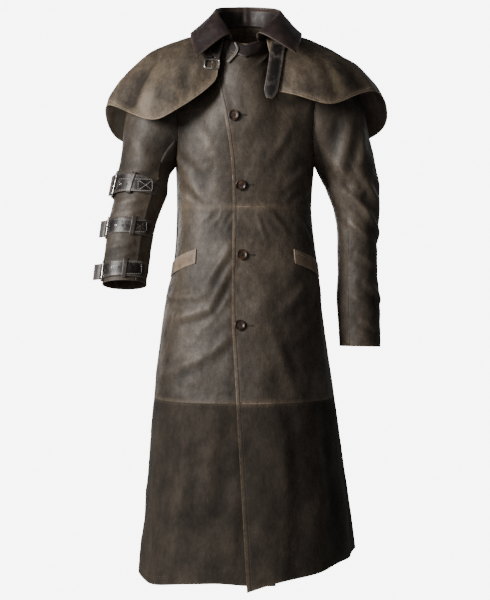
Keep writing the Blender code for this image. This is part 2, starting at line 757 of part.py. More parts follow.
def make_body(shop):
    """Chest, skirt and lower panels of the two fronts and the two halves of the back."""
    half_gap = 0.5 * SEAM_GAP
    for place_name, quarter in QUARTERS.items():
        closing_first = np.linspace(0.0, 1.0, 14) ** (1.4 if quarter[1] else 1.0)
        panels = (
            ("chest_", chest(quarter), chest_columns(quarter), chest_rows(), "body_leather"),
            ("skirt_", skirt(quarter, KNEE_SEAM + half_gap, WAIST_SEAM - half_gap), closing_first,
             np.linspace(0.0, 1.0, 12), "body_leather"),
            ("lower_", lower(quarter), closing_first, np.linspace(0.0, 1.0, 8), "lower_suede"),
        )
        for name, surface, columns, rows, finish in panels:
            sheet, lap = body_sheet(quarter, surface, columns, rows)
            shop.wall(name + place_name, sheet.layer(lap), sheet.layer(lap + LEATHER), finish)


SLEEVE_SEAMS = (-60.0, 120.0, 300.0)
HEAD_STATIONS = (0.0, 0.3, 0.62)


def make_sleeves(shop):
    """A top sleeve and an under sleeve for each arm."""
    for name, rows, side in (("right", RIGHT_SLEEVE, -1.0), ("left", LEFT_SLEEVE, 1.0)):
        surface = sleeve(rows, side)
        stations = list(HEAD_STATIONS) + list(np.linspace(1.0, rows[-1][0], 2 * len(rows) - 1))
        for part, start, end in (("top", 0, 1), ("under", 1, 2)):
            gap = math.degrees(0.5 * SEAM_GAP / 0.05)
            dials = np.linspace(SLEEVE_SEAMS[start], SLEEVE_SEAMS[end], int(180.0 / ARMHOLE_STEP) + 1)
            dials[0] += gap
            dials[-1] -= gap
            sheet = Sheet(surface, dials, stations, side)
            shop.wall(f"sleeve_{name}_{part}", sheet.layer(0.0), sheet.layer(LEATHER), "body_leather")


def make_cape(shop):
    """The two halves of the cape, seamed at the centre back."""
    for name, rows, side in (("cape_right", CAPE_RIGHT, -1.0), ("cape_left", CAPE_LEFT, 1.0)):
        sheet = Sheet(cape(rows, side), np.linspace(0.0, 1.0, 24), np.linspace(0.0, 1.0, 8), -side)
        shop.wall(name, sheet.layer(0.0), sheet.layer(LEATHER), "cape_leather")


def make_collar(shop):
    """The collar stand and the collar."""
    around = np.linspace(0.0, 1.0, 25)
    sheet = Sheet(stand, around, np.linspace(0.0, 1.0, 3), -1.0)
    shop.wall("collar_stand", sheet.layer(0.0), sheet.layer(COLLAR_LEATHER), "collar_leather")
    sheet = Sheet(collar, around, np.linspace(0.0, 1.0, 8), 1.0)
    shop.wall("collar", sheet.layer(0.0), sheet.layer(COLLAR_LEATHER), "collar_leather")


def grid_of(surface, start_u, end_u, count_u, start_v, end_v, count_v, outward):
    """A sheet over a range of a surface."""
    columns = np.linspace(start_u, end_u, count_u)
    return Sheet(surface, columns, np.linspace(start_v, end_v, count_v), outward)


def make_pockets(shop):
    """A slanted welt over each pocket's mouth."""
    for name, side in (("pocket_welt_right", -1.0), ("pocket_welt_left", 1.0)):

        def surface(along, up, side=side):
            turn = side * mix(WELT_FRONT_TURN, WELT_SIDE_TURN, along)
            height = mix(WELT_FRONT_HEIGHT, WELT_SIDE_HEIGHT, along) + WELT_WIDTH * (up - 0.5)
            return body(turn, height)

        sheet = grid_of(surface, 0.0, 1.0, 14, 0.0, 1.0, 4, side)
        inner = LEATHER + WELT_GAP
        shop.wall(name, sheet.layer(inner), sheet.layer(inner + WELT_LEATHER), "welt_leather")


def make_buttons(shop):
    """Four turned buttons on the left front."""
    thick = BUTTON_THICKNESS
    profile = (
        (0.0, 0.62 * thick),
        (0.70 * BUTTON_RADIUS, 0.66 * thick),
        (0.80 * BUTTON_RADIUS, thick),
        (0.94 * BUTTON_RADIUS, 0.96 * thick),
        (BUTTON_RADIUS, 0.60 * thick),
        (0.80 * BUTTON_RADIUS, 0.0),
        (0.0, 0.0),
    )
    for number, (height, x) in enumerate(BUTTONS, start=1):
        turn = ring_turn(0, x, height, -90.0, 90.0)
        surface = chest_at if height > WAIST_SEAM else body
        spread = math.degrees(BUTTON_RADIUS / FOLD_RADIUS)
        middle = surface(turn, height)
        right, left = surface(turn - spread, height), surface(turn + spread, height)
        low, high = surface(turn, height - BUTTON_RADIUS), surface(turn, height + BUTTON_RADIUS)
        normal = np.cross(left - right, high - low)
        normal /= np.linalg.norm(normal)
        proud = max(np.dot(near - middle, normal) for near in (middle, right, left, low, high))
        mesh = bpy.data.meshes.new(f"button_{number}")
        edges = [(k, k + 1) for k in range(len(profile) - 1)]
        mesh.from_pydata([(r, 0.0, z) for r, z in profile], edges, [])
        piece = shop.add_mesh(f"button_{number}", mesh, "button_horn")
        piece.location = middle + normal * (proud + 2.0 * LEATHER + LAP_GAP + BUTTON_GAP)
        piece.rotation_euler = Vector(normal).to_track_quat("Z", "Y").to_euler()
        turning = piece.modifiers.new("turning", "SCREW")
        turning.steps = 20
        turning.render_steps = 20
        turning.use_merge_vertices = True
        turning.merge_threshold = 0.0001
        turning.use_normal_calculate = True


def station_at(rows, height):
    """The sleeve station whose middle lies at a height."""
    table = curve_through(rows)
    low, high = rows[0][0], rows[-1][0]
    for _ in range(30):
        middle = 0.5 * (low + high)
        row = table(middle)
        if 0.5 * (row[1] + row[3]) > height:
            low = middle
        else:
            high = middle
    return 0.5 * (low + high)


def make_sleeve_strap(shop, number, height, end_dial, keeper_dial, tail):
    """One strap on the right sleeve, run under its buckle's tip bar and over its heel bar."""
    arm = sleeve(RIGHT_SLEEVE, -1.0)
    middle = station_at(RIGHT_SLEEVE, height)
    per_metre = station_at(RIGHT_SLEEVE, height - 0.5 * SLEEVE_STRAP_WIDTH) - middle
    per_metre /= 0.5 * SLEEVE_STRAP_WIDTH

    def at(dial, down, out):
        near = Sheet(arm, (dial, dial + 1.0), (middle + down * per_metre, middle + 0.1), -1.0)
        return near.points[0, 0] + near.normals[0, 0] * out

    def around(dial, down):
        return arm(dial, middle + down * per_metre)

    def strap(along, down):
        past = max(along - 1.0, 0.0)
        away = np.array((-(past**1.6), 0.35 * past * (2.0 - past), -0.10 * past))
        return around(mix(end_dial, TAIL_DIAL, min(along, 1.0)), down) + tail * away

    def lift_at(dial):
        return HEEL_LIFT * ease((LIFT_DIAL - dial) / (LIFT_DIAL - HEEL_DIAL))

    half = 0.5 * SLEEVE_STRAP_WIDTH
    columns = list(np.linspace(0.0, 1.0, 14)) + [1.3, 1.65, 2.0]
    sheet = Sheet(strap, columns, (-half, -0.4 * half, 0.4 * half, half), 1.0)
    lift = np.array([lift_at(mix(end_dial, TAIL_DIAL, min(along, 1.0))) for along in columns])
    base = LEATHER + STRAP_GAP
    inner = base + lift[None, :] * np.ones((4, 1))
    shop.wall(f"sleeve_strap_{number}", sheet.layer(inner), sheet.layer(inner + STRAP_LEATHER),
              "strap_leather")

    chape = grid_of(around, CHAPE_DIAL, HEEL_DIAL - CHAPE_CLEAR, 8, -half, half, 3, -1.0)
    shop.wall(f"sleeve_chape_{number}", chape.layer(base), chape.layer(base + CHAPE_LEATHER),
              "strap_leather")

    reach = half + BUCKLE_MARGIN
    heel_out = base + BUCKLE_WIRE
    tip_out = base + STRAP_LEATHER + REST_GAP + BUCKLE_WIRE
    corners = [at(HEEL_DIAL, -reach, heel_out), at(TIP_DIAL, -reach, tip_out),
               at(TIP_DIAL, reach, tip_out), at(HEEL_DIAL, reach, heel_out)]
    shop.wire(f"sleeve_buckle_{number}", corners, BUCKLE_WIRE, "buckle_metal", closed=True)

    root_dial = 0.5 * (TIP_DIAL + HEEL_DIAL)
    root_out = base + lift_at(root_dial) + STRAP_LEATHER + REST_GAP + PRONG_WIRE
    over = tip_out + BUCKLE_WIRE + PRONG_GAP + PRONG_WIRE
    prong = [at(root_dial, 0.0, root_out), at(TIP_DIAL + 2.0, 0.0, over)]
    shop.wire(f"sleeve_prong_{number}", prong, PRONG_WIRE, "buckle_metal")

    spread = math.degrees(0.5 * KEEPER_WIDTH / SLEEVE_RADIUS)
    foot = half + 0.5 * KEEPER_FOOT
    downs = (-foot - KEEPER_FOOT, -foot, 0.0, foot, foot + KEEPER_FOOT)
    keeper = Sheet(around, (keeper_dial - spread, keeper_dial, keeper_dial + spread), downs, -1.0)
    over = base + STRAP_LEATHER + REST_GAP
    lift = np.array((base, over, over, over, base))[:, None] * np.ones((1, 3))
    shop.wall(f"sleeve_keeper_{number}", keeper.layer(lift), keeper.layer(lift + KEEPER_LEATHER),
              "strap_leather")


def make_throat_latch(shop):
    """The loose buckle on its tab on the wearer's right, and the long strap on the left."""
    flap = cape(CAPE_RIGHT, -1.0)
    out = LEATHER + REST_GAP

    def slotted(across, down):
        slot = TAB_SLOT_DOWN if TAB_COLUMNS[1] < across - 0.01 and across + 0.01 < TAB_COLUMNS[-2] else 0.0
        return flap(mix(*TAB_AROUND, across), mix(TAB_DOWN[0], TAB_DOWN[1] - slot, down))

    tab = Sheet(slotted, TAB_COLUMNS, np.linspace(0.0, 1.0, 6), 1.0)
    shop.wall("throat_tab", tab.layer(out), tab.layer(out + STRAP_LEATHER), "strap_leather")

    bars = Sheet(flap, TAB_AROUND, THROAT_BAR_DOWN, 1.0).layer(LEATHER + THROAT_BAR_GAP + BUCKLE_WIRE)
    heel = 0.5 * (bars[0, 0] + bars[0, 1])
    along = (bars[0, 1] - bars[0, 0]) / np.linalg.norm(bars[0, 1] - bars[0, 0])
    tip = 0.5 * (bars[1, 0] + bars[1, 1])
    fall = (tip - heel) - along * np.dot(tip - heel, along)
    fall = fall / np.linalg.norm(fall) * THROAT_FRAME_TALL
    half = 0.5 * THROAT_FRAME_LONG
    corners = [-along * half, along * half, along * half + fall, -along * half + fall]
    shop.wire("throat_buckle", corners, BUCKLE_WIRE, "buckle_metal", closed=True, origin=heel)
    face = np.cross(along, fall)
    face *= -1.0 if face[1] > 0.0 else 1.0
    face /= np.linalg.norm(face)
    proud = face * (BUCKLE_WIRE + REST_GAP + PRONG_WIRE)
    prong = [proud - fall * THROAT_PRONG_HEEL, proud + fall * THROAT_PRONG_TIP]
    shop.wire("throat_prong", prong, PRONG_WIRE, "buckle_metal", origin=heel)

    path = curve_through(LATCH_STRAP)

    def strap(across, down):
        x, y, height, half_width = path(down)
        near = path(max(down - 0.05, 0.0))
        far = path(min(down + 0.05, 1.0))
        run = np.array((far[0] - near[0], 0.0, far[2] - near[2]))
        wide = np.array((-run[2], 0.0, run[0])) / np.linalg.norm(run)
        return place(x, y + LATCH_BOW * across * across, height) + wide * half_width * across

    sheet = grid_of(strap, -1.0, 1.0, 5, 0.0, 1.0, 11, -1.0)
    shop.wall("throat_strap", sheet.layer(0.0), sheet.layer(STRAP_LEATHER), "strap_leather")


def main():
    clear_scene()
    shop = Workshop()
    make_body(shop)
    make_sleeves(shop)
    make_cape(shop)
    make_collar(shop)
    make_pockets(shop)
    make_buttons(shop)
    for number, row in enumerate(SLEEVE_STRAPS, start=1):
        make_sleeve_strap(shop, number, *row)
    make_throat_latch(shop)


main()
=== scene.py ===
"""The looks of the duster coat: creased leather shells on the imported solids, sewing, metal and light.

Turns go round the body in degrees: 0 in front, 90 on the wearer's left. Heights are above the hem.
"""

import math

import bmesh
import bpy
import numpy as np
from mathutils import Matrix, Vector
from mathutils.bvhtree import BVHTree
from mathutils.kdtree import KDTree


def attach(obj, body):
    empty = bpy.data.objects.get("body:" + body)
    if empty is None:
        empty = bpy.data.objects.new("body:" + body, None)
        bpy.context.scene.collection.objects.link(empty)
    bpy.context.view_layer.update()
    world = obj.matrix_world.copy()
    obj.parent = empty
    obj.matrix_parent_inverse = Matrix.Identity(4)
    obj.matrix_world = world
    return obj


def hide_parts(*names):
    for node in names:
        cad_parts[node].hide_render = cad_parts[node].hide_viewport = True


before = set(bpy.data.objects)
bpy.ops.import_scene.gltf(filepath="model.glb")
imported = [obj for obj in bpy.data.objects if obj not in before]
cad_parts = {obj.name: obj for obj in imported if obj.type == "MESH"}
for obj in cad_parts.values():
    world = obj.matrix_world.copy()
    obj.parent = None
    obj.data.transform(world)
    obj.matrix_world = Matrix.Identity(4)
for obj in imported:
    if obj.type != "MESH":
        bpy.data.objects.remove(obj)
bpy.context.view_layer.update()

# The origin's height above the hem, and the heights of the two cross seams
HOLD_HEIGHT = 1.300
WAIST_SEAM = 0.883
KNEE_SEAM = 0.427

# Radii that turn degrees into metres on each form
RADII = {"body": 0.190, "right": 0.058, "left": 0.058, "cape": 0.240, "collar": 0.080}

# Middles, front to back, of the cape and the neck, and how far the cape's middle lies below the origin
CAPE_MIDDLE_Y = 0.02
NECK_MIDDLE_Y = -0.013
CAPE_MIDDLE_DROP = 0.40

# Angles between faces: one that the subdivision keeps, and one that counts as a rim
CREASE_ANGLE = math.radians(48.0)
RIM_ANGLE = math.radians(50.0)

# Distances to a rim within which a point lies on it, and within which a centre-back point is closed up
ON_RIM = 2e-4
NEAR_RIM = 4e-4
CENTRE_BACK_REACH = 0.0030

# How far a rim is moved out, so that no background shows through a seam
BODY_RIM_GROWTH = 0.0003
OTHER_RIM_GROWTH = 0.00018

# Cloth pieces. Columns: node, form, material, lining, subdivision, flat width, flat length, flat area
CLOTH = (
    ("chest_front_right", "body", "body", "inside", 3, 0.30, 0.44, 0.098),
    ("chest_front_left", "body", "body", "inside", 3, 0.32, 0.44, 0.108),
    ("chest_back_right", "body", "body", "inside", 2, 0.27, 0.45, 0.098),
    ("chest_back_left", "body", "body", "inside", 2, 0.27, 0.45, 0.098),
    ("skirt_front_right", "body", "body", "inside", 3, 0.38, 0.46, 0.153),
    ("skirt_front_left", "body", "body", "inside", 3, 0.38, 0.46, 0.151),
    ("skirt_back_right", "body", "body", "inside", 2, 0.36, 0.46, 0.142),
    ("skirt_back_left", "body", "body", "inside", 2, 0.36, 0.46, 0.135),
    ("lower_front_right", "body", "suede", "inside", 3, 0.47, 0.43, 0.181),
    ("lower_front_left", "body", "suede", "inside", 3, 0.50, 0.43, 0.181),
    ("lower_back_right", "body", "suede", "inside", 2, 0.44, 0.43, 0.170),
    ("lower_back_left", "body", "suede", "inside", 2, 0.40, 0.43, 0.143),
    ("sleeve_right_top", "right", "body", "inside", 3, 0.24, 0.58, 0.114),
    ("sleeve_right_under", "right", "body", "inside", 2, 0.20, 0.52, 0.079),
    ("sleeve_left_top", "left", "body", "inside", 3, 0.24, 0.73, 0.140),
    ("sleeve_left_under", "left", "body", "inside", 2, 0.20, 0.66, 0.099),
    ("cape_right", "cape", "cape", "cape_inside", 3, 0.62, 0.42, 0.177),
    # The left cape's inner face takes the darker inside leather, not the pale lining of the right cape:
    # painted shade on the side away from the key light
    ("cape_left", "cape", "cape", "inside", 3, 0.62, 0.42, 0.170),
    ("collar_stand", "collar", "collar", "collar", 2, 0.46, 0.06, 0.022),
    ("collar", "collar", "collar", "collar", 3, 0.60, 0.13, 0.058),
)
# How much of a form's listed creases shows
CALM = {"right": 0.55, "body": 0.85}

# Straps and welts. Columns: node, form, material, subdivision
STRIPS = (
    ("pocket_welt_right", "body", "welt", 3),
    ("pocket_welt_left", "body", "welt", 3),
    ("sleeve_strap_1", "right", "strap", 2),
    ("sleeve_strap_2", "right", "strap", 2),
    ("sleeve_strap_3", "right", "strap", 2),
    ("sleeve_chape_1", "right", "strap", 2),
    ("sleeve_chape_2", "right", "strap", 2),
    ("sleeve_chape_3", "right", "strap", 2),
    ("sleeve_keeper_1", "right", "strap", 2),
    ("sleeve_keeper_2", "right", "strap", 2),
    ("sleeve_keeper_3", "right", "strap", 2),
    ("throat_tab", "cape", "strap", 2),
    ("throat_strap", "cape", "strap", 3),
)

# Middle of each sleeve. Columns: height, x, y
SLEEVE_MIDDLES = {
    "right": ((0.69, -0.286, -0.093), (0.75, -0.279, -0.078), (0.80, -0.274, -0.064), (0.86, -0.265, -0.048),
              (0.93, -0.252, -0.030), (1.00, -0.240, -0.016), (1.10, -0.215, -0.004), (1.26, -0.185, 0.0)),
    "left": ((0.55, 0.278, -0.022), (0.63, 0.274, -0.016), (0.72, 0.273, -0.010), (0.80, 0.273, -0.006),
             (0.86, 0.272, -0.002), (0.92, 0.265, 0.0), (1.00, 0.252, 0.0), (1.10, 0.220, 0.0),
             (1.26, 0.185, 0.0)),
}

# Main creases by form. Columns: turn and height of one end, then of the other, width, rise
CREASES = {
    "body": (
        (-12.0, 0.792, -29.0, 0.716, 0.010, 0.0034),
        (-11.0, 0.754, -28.0, 0.644, 0.009, 0.0032),
        (-28.0, 0.644, -56.0, 0.620, 0.010, 0.0036),
        (-10.0, 0.588, -25.0, 0.542, 0.010, 0.0026),
        (-25.0, 0.542, -62.0, 0.486, 0.013, 0.0034),
        (-8.0, 0.690, -40.0, 0.566, 0.007, 0.0014),
        (-36.0, 0.674, -82.0, 0.669, 0.008, 0.0030),
        (-44.0, 0.648, -74.0, 0.655, 0.006, 0.0016),
        (-14.0, 0.878, -24.0, 0.846, 0.005, 0.0018),
        (-19.0, 0.876, -33.0, 0.838, 0.006, 0.0020),
        (-11.0, 0.860, -18.0, 0.828, 0.005, 0.0014),
        (-30.0, 0.872, -46.0, 0.842, 0.006, 0.0012),
        (-72.0, 1.000, -44.0, 0.930, 0.011, 0.0034),
        (-66.0, 0.965, -38.0, 0.895, 0.009, 0.0028),
        (-74.0, 0.930, -52.0, 0.890, 0.007, 0.0022),
        (-50.0, 1.090, -30.0, 1.010, 0.014, 0.0022),
        (-26.0, 1.160, -12.0, 1.050, 0.012, 0.0016),
        (70.0, 1.000, 42.0, 0.930, 0.011, 0.0034),
        (64.0, 0.960, 40.0, 0.900, 0.008, 0.0026),
        (74.0, 0.930, 50.0, 0.888, 0.007, 0.0024),
        (46.0, 1.080, 24.0, 0.990, 0.013, 0.0024),
        (12.0, 0.860, 20.0, 0.800, 0.007, 0.0014),
        (24.0, 0.874, 38.0, 0.826, 0.008, 0.0020),
        (50.0, 0.870, 66.0, 0.800, 0.008, 0.0024),
        (58.0, 0.720, 30.0, 0.640, 0.012, 0.0032),
        (70.0, 0.650, 44.0, 0.580, 0.010, 0.0026),
        (20.0, 0.600, 34.0, 0.440, 0.014, 0.0030),
        (-20.0, 0.400, -26.0, 0.160, 0.016, 0.0030),
        (-38.0, 0.300, -43.0, 0.020, 0.013, 0.0028),
        (-60.0, 0.390, -64.0, 0.120, 0.017, 0.0034),
        (-6.0, 0.300, -9.0, 0.020, 0.012, 0.0022),
        (24.0, 0.380, 25.0, 0.090, 0.015, 0.0030),
        (50.0, 0.420, 50.0, 0.100, 0.016, 0.0036),
        (78.0, 0.400, 77.0, 0.060, 0.016, 0.0036),
        (-128.0, 0.850, -150.0, 0.720, 0.013, 0.0036),
        (-112.0, 0.780, -138.0, 0.640, 0.011, 0.0030),
        (-160.0, 0.870, -172.0, 0.800, 0.008, 0.0022),
        (136.0, 0.860, 158.0, 0.730, 0.013, 0.0034),
        (116.0, 0.800, 140.0, 0.660, 0.011, 0.0032),
        (164.0, 0.868, 172.0, 0.812, 0.007, 0.0020),
        (-110.0, 1.000, -146.0, 0.930, 0.012, 0.0036),
        (112.0, 0.995, 148.0, 0.925, 0.012, 0.0034),
        (-120.0, 0.940, -150.0, 0.893, 0.009, 0.0024),
        (118.0, 0.945, 152.0, 0.896, 0.009, 0.0026),
        (-124.0, 0.380, -126.0, 0.080, 0.016, 0.0034),
        (-152.0, 0.400, -154.0, 0.050, 0.014, 0.0032),
        (126.0, 0.390, 128.0, 0.060, 0.016, 0.0034),
        (156.0, 0.400, 156.0, 0.070, 0.014, 0.0030),
    ),
    "right": (
        (160.0, 1.010, 78.0, 0.975, 0.011, 0.0044),
        (150.0, 0.975, 60.0, 0.968, 0.008, 0.0034),
        (40.0, 1.060, 96.0, 1.000, 0.013, 0.0040),
        (120.0, 0.905, 30.0, 0.890, 0.008, 0.0036),
        (140.0, 0.880, 70.0, 0.872, 0.006, 0.0028),
        (100.0, 0.800, 20.0, 0.783, 0.007, 0.0030),
        (150.0, 0.785, 70.0, 0.770, 0.006, 0.0026),
        (60.0, 0.872, 0.0, 0.862, 0.006, 0.0022),
        (-40.0, 0.960, -120.0, 0.900, 0.012, 0.0040),
        (-60.0, 0.860, -150.0, 0.830, 0.009, 0.0032),
        (-30.0, 0.790, -110.0, 0.770, 0.008, 0.0028),
    ),
    "left": (
        (62.0, 1.095, 118.0, 0.968, 0.013, 0.0060),
        (40.0, 1.060, 84.0, 0.962, 0.011, 0.0040),
        (130.0, 1.000, 80.0, 0.920, 0.010, 0.0044),
        (72.0, 0.955, 18.0, 0.880, 0.012, 0.0050),
        (110.0, 0.920, 50.0, 0.852, 0.009, 0.0040),
        (130.0, 0.860, 66.0, 0.812, 0.008, 0.0034),
        (40.0, 0.846, -20.0, 0.800, 0.010, 0.0036),
        (96.0, 0.772, 40.0, 0.740, 0.008, 0.0026),
        (70.0, 0.700, 4.0, 0.664, 0.009, 0.0036),
        (120.0, 0.676, 66.0, 0.648, 0.007, 0.0026),
        (84.0, 0.612, 30.0, 0.590, 0.007, 0.0022),
        (-30.0, 0.980, -110.0, 0.900, 0.013, 0.0044),
        (-50.0, 0.880, -140.0, 0.840, 0.010, 0.0040),
        (-40.0, 0.720, -120.0, 0.680, 0.009, 0.0032),
    ),
    "cape": (
        (-68.0, 1.225, -67.0, 1.060, 0.013, -0.0070),
        (-59.0, 1.215, -57.0, 1.080, 0.015, 0.0046),
        (-78.0, 1.230, -78.0, 1.080, 0.015, 0.0052),
        (-44.0, 1.235, -42.0, 1.130, 0.014, -0.0028),
        (-96.0, 1.220, -100.0, 1.060, 0.018, 0.0050),
        (-112.0, 1.210, -116.0, 1.040, 0.016, -0.0050),
        (46.0, 1.230, 44.0, 1.130, 0.014, -0.0026),
        (60.0, 1.225, 59.0, 1.110, 0.014, 0.0040),
        (70.0, 1.220, 70.0, 1.100, 0.013, -0.0050),
        (84.0, 1.225, 86.0, 1.110, 0.015, 0.0040),
        (104.0, 1.210, 106.0, 1.060, 0.017, -0.0056),
        (120.0, 1.200, 121.0, 1.030, 0.017, 0.0050),
        (-132.0, 1.200, -134.0, 1.030, 0.018, 0.0054),
        (-150.0, 1.200, -152.0, 1.030, 0.015, -0.0040),
        (140.0, 1.200, 141.0, 1.030, 0.016, -0.0046),
        (160.0, 1.200, 161.0, 1.030, 0.018, 0.0048),
        (-168.0, 1.200, -169.0, 1.030, 0.014, 0.0036),
    ),
    "collar": (
        (-176.0, 1.400, -175.0, 1.310, 0.004, 0.0016),
        (178.0, 1.400, 176.0, 1.310, 0.004, -0.0014),
        (150.0, 1.350, 140.0, 1.300, 0.009, 0.0016),
        (-140.0, 1.350, -128.0, 1.300, 0.009, 0.0016),
    ),
}

# Uneven waves in the hide. Columns: wavelength, height
WAVES = ((0.210, 0.0016), (0.120, 0.0011), (0.070, 0.0007), (0.038, 0.00035), (0.021, 0.00018))
WAVES_EACH = 7
WAVES_SUM = 2.6


def spread_of(points, form):
    """Turn in degrees, height, and the way out of the coat at each point."""
    height = points[:, 2] + HOLD_HEIGHT
    if form in SLEEVE_MIDDLES:
        rows = np.array(SLEEVE_MIDDLES[form])
        x = points[:, 0] - np.interp(height, rows[:, 0], rows[:, 1])
        y = points[:, 1] - np.interp(height, rows[:, 0], rows[:, 2])
        side = -1.0 if form == "right" else 1.0
        turn = np.degrees(np.arctan2(-y, side * x))
        way = np.stack((x, y, np.zeros_like(x)), axis=1)
    elif form == "cape":
        x, y = points[:, 0], points[:, 1] - CAPE_MIDDLE_Y
        turn = np.degrees(np.arctan2(x, -y))
        way = np.stack((x, y, points[:, 2] + CAPE_MIDDLE_DROP), axis=1)
    else:
        x, y = points[:, 0], points[:, 1] - (0.0 if form == "body" else NECK_MIDDLE_Y)
        turn = np.degrees(np.arctan2(x, -y))
        way = np.stack((x, y, np.zeros_like(x)), axis=1)
    return turn, height, way / np.linalg.norm(way, axis=1)[:, None]


def creased(points, form):
    """How far the creases and the hide's waves move each point out, and the creases' share."""
    turn, height, _ = spread_of(points, form)
    radius = RADII[form]
    folds = np.zeros(len(points))
    for turn_a, height_a, turn_b, height_b, width, rise in CREASES[form]:
        run = math.radians(turn_b - turn_a) * radius
        drop = height_b - height_a
        round_way = (turn - turn_a + 180.0) % 360.0 - 180.0
        out = np.radians(round_way) * radius
        down = height - height_a
        share = np.clip((out * run + down * drop) / (run * run + drop * drop), 0.0, 1.0)
        across = (out * drop - down * run) / math.hypot(run, drop)
        past = np.hypot(out - run * share, down - drop * share)
        fade = 0.35 + 0.65 * np.sin(math.pi * np.clip(share, 0.06, 0.94))
        ridge = np.exp(-((past / width) ** 2))
        valley = np.exp(-(((past - 1.9 * width) / (1.1 * width)) ** 2)) * (0.55 - 0.25 * np.sign(across))
        folds += rise * fade * (ridge - valley)
    rng = np.random.default_rng(11)
    waves = np.zeros(len(points))
    for length, tall in WAVES:
        for _ in range(WAVES_EACH):
            way = rng.normal(size=3)
            way /= np.linalg.norm(way)
            phase = rng.uniform(0.0, 2.0 * math.pi)
            rate = 2.0 * math.pi / length * rng.uniform(0.8, 1.25)
            waves += tall / WAVES_SUM * np.sin(rate * (points @ way) + phase)
    return folds, waves


def shell_of(node, levels):
    """A smooth fine mesh on a CAD node's own form, with its sharp edges kept."""
    shape = bmesh.new()
    shape.from_mesh(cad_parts[node].data)
    bmesh.ops.remove_doubles(shape, verts=shape.verts, dist=2e-5)
    bmesh.ops.join_triangles(shape, faces=shape.faces, angle_face_threshold=RIM_ANGLE,
                             angle_shape_threshold=math.radians(80.0))
    crease = shape.edges.layers.float.new("crease_edge")
    for edge in shape.edges:
        if len(edge.link_faces) == 2 and edge.calc_face_angle() > CREASE_ANGLE:
            edge[crease] = 1.0
    mesh = bpy.data.meshes.new("rough")
    shape.to_mesh(mesh)
    shape.free()
    rough = bpy.data.objects.new("rough", mesh)
    bpy.context.scene.collection.objects.link(rough)
    smooth = rough.modifiers.new("smooth", "SUBSURF")
    smooth.levels = levels
    smooth.render_levels = levels
    graph = bpy.context.evaluated_depsgraph_get()
    fine = bpy.data.meshes.new_from_object(rough.evaluated_get(graph))
    bpy.data.objects.remove(rough, do_unlink=True)
    bpy.data.meshes.remove(mesh)
    return fine


def rim_tree(mesh):
    """A search tree over a mesh's sharp edges."""
    shape = bmesh.new()
    shape.from_mesh(mesh)
    found = []
    for edge in shape.edges:
        if len(edge.link_faces) == 2 and edge.calc_face_angle() > RIM_ANGLE:
            start, end = edge.verts[0].co, edge.verts[1].co
            found += [start.lerp(end, share) for share in (0.0, 0.33, 0.67)]
    shape.free()
    tree = KDTree(len(found))
    for index, point in enumerate(found):
        tree.insert(point, index)
    tree.balance()
    return tree


def add_piece(name, mesh, material):
    """Links a mesh as a piece that rides on the coat."""
    mesh.name = name
    piece = bpy.data.objects.new(name, mesh)
    bpy.context.scene.collection.objects.link(piece)
    mesh.materials.clear()
    mesh.materials.append(material)
    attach(piece, "coat")
    return piece


# Each dressed node's surface, for what is laid on it
SURFACES = {}


def rawness(node, points):
    """How raw, so how pale, a piece's nearest edge is: 0 at a closed seam, 1 at a cut edge."""
    x, y, height = points[:, 0], points[:, 1], points[:, 2] + HOLD_HEIGHT
    if node.startswith("sleeve_") and "strap" not in node and "chape" not in node and "keeper" not in node:
        return np.where(height < height.min() + 0.020, 0.7, 0.0)
    if node.startswith("cape"):
        return np.where((np.abs(x) < 0.012) & (y > 0.0), 0.0, 1.0)
    if node.startswith(("chest", "skirt", "lower")):
        closing = (np.abs(np.degrees(np.arctan2(x, -y))) < 20.0) & node.endswith("front_left")
        seam = np.minimum(np.abs(height - WAIST_SEAM), np.abs(height - KNEE_SEAM)) < 0.012
        return np.where(closing, 1.0, np.where(height < 0.070, 0.6, np.where(seam, 0.55, 0.0)))
    return np.ones(len(points))


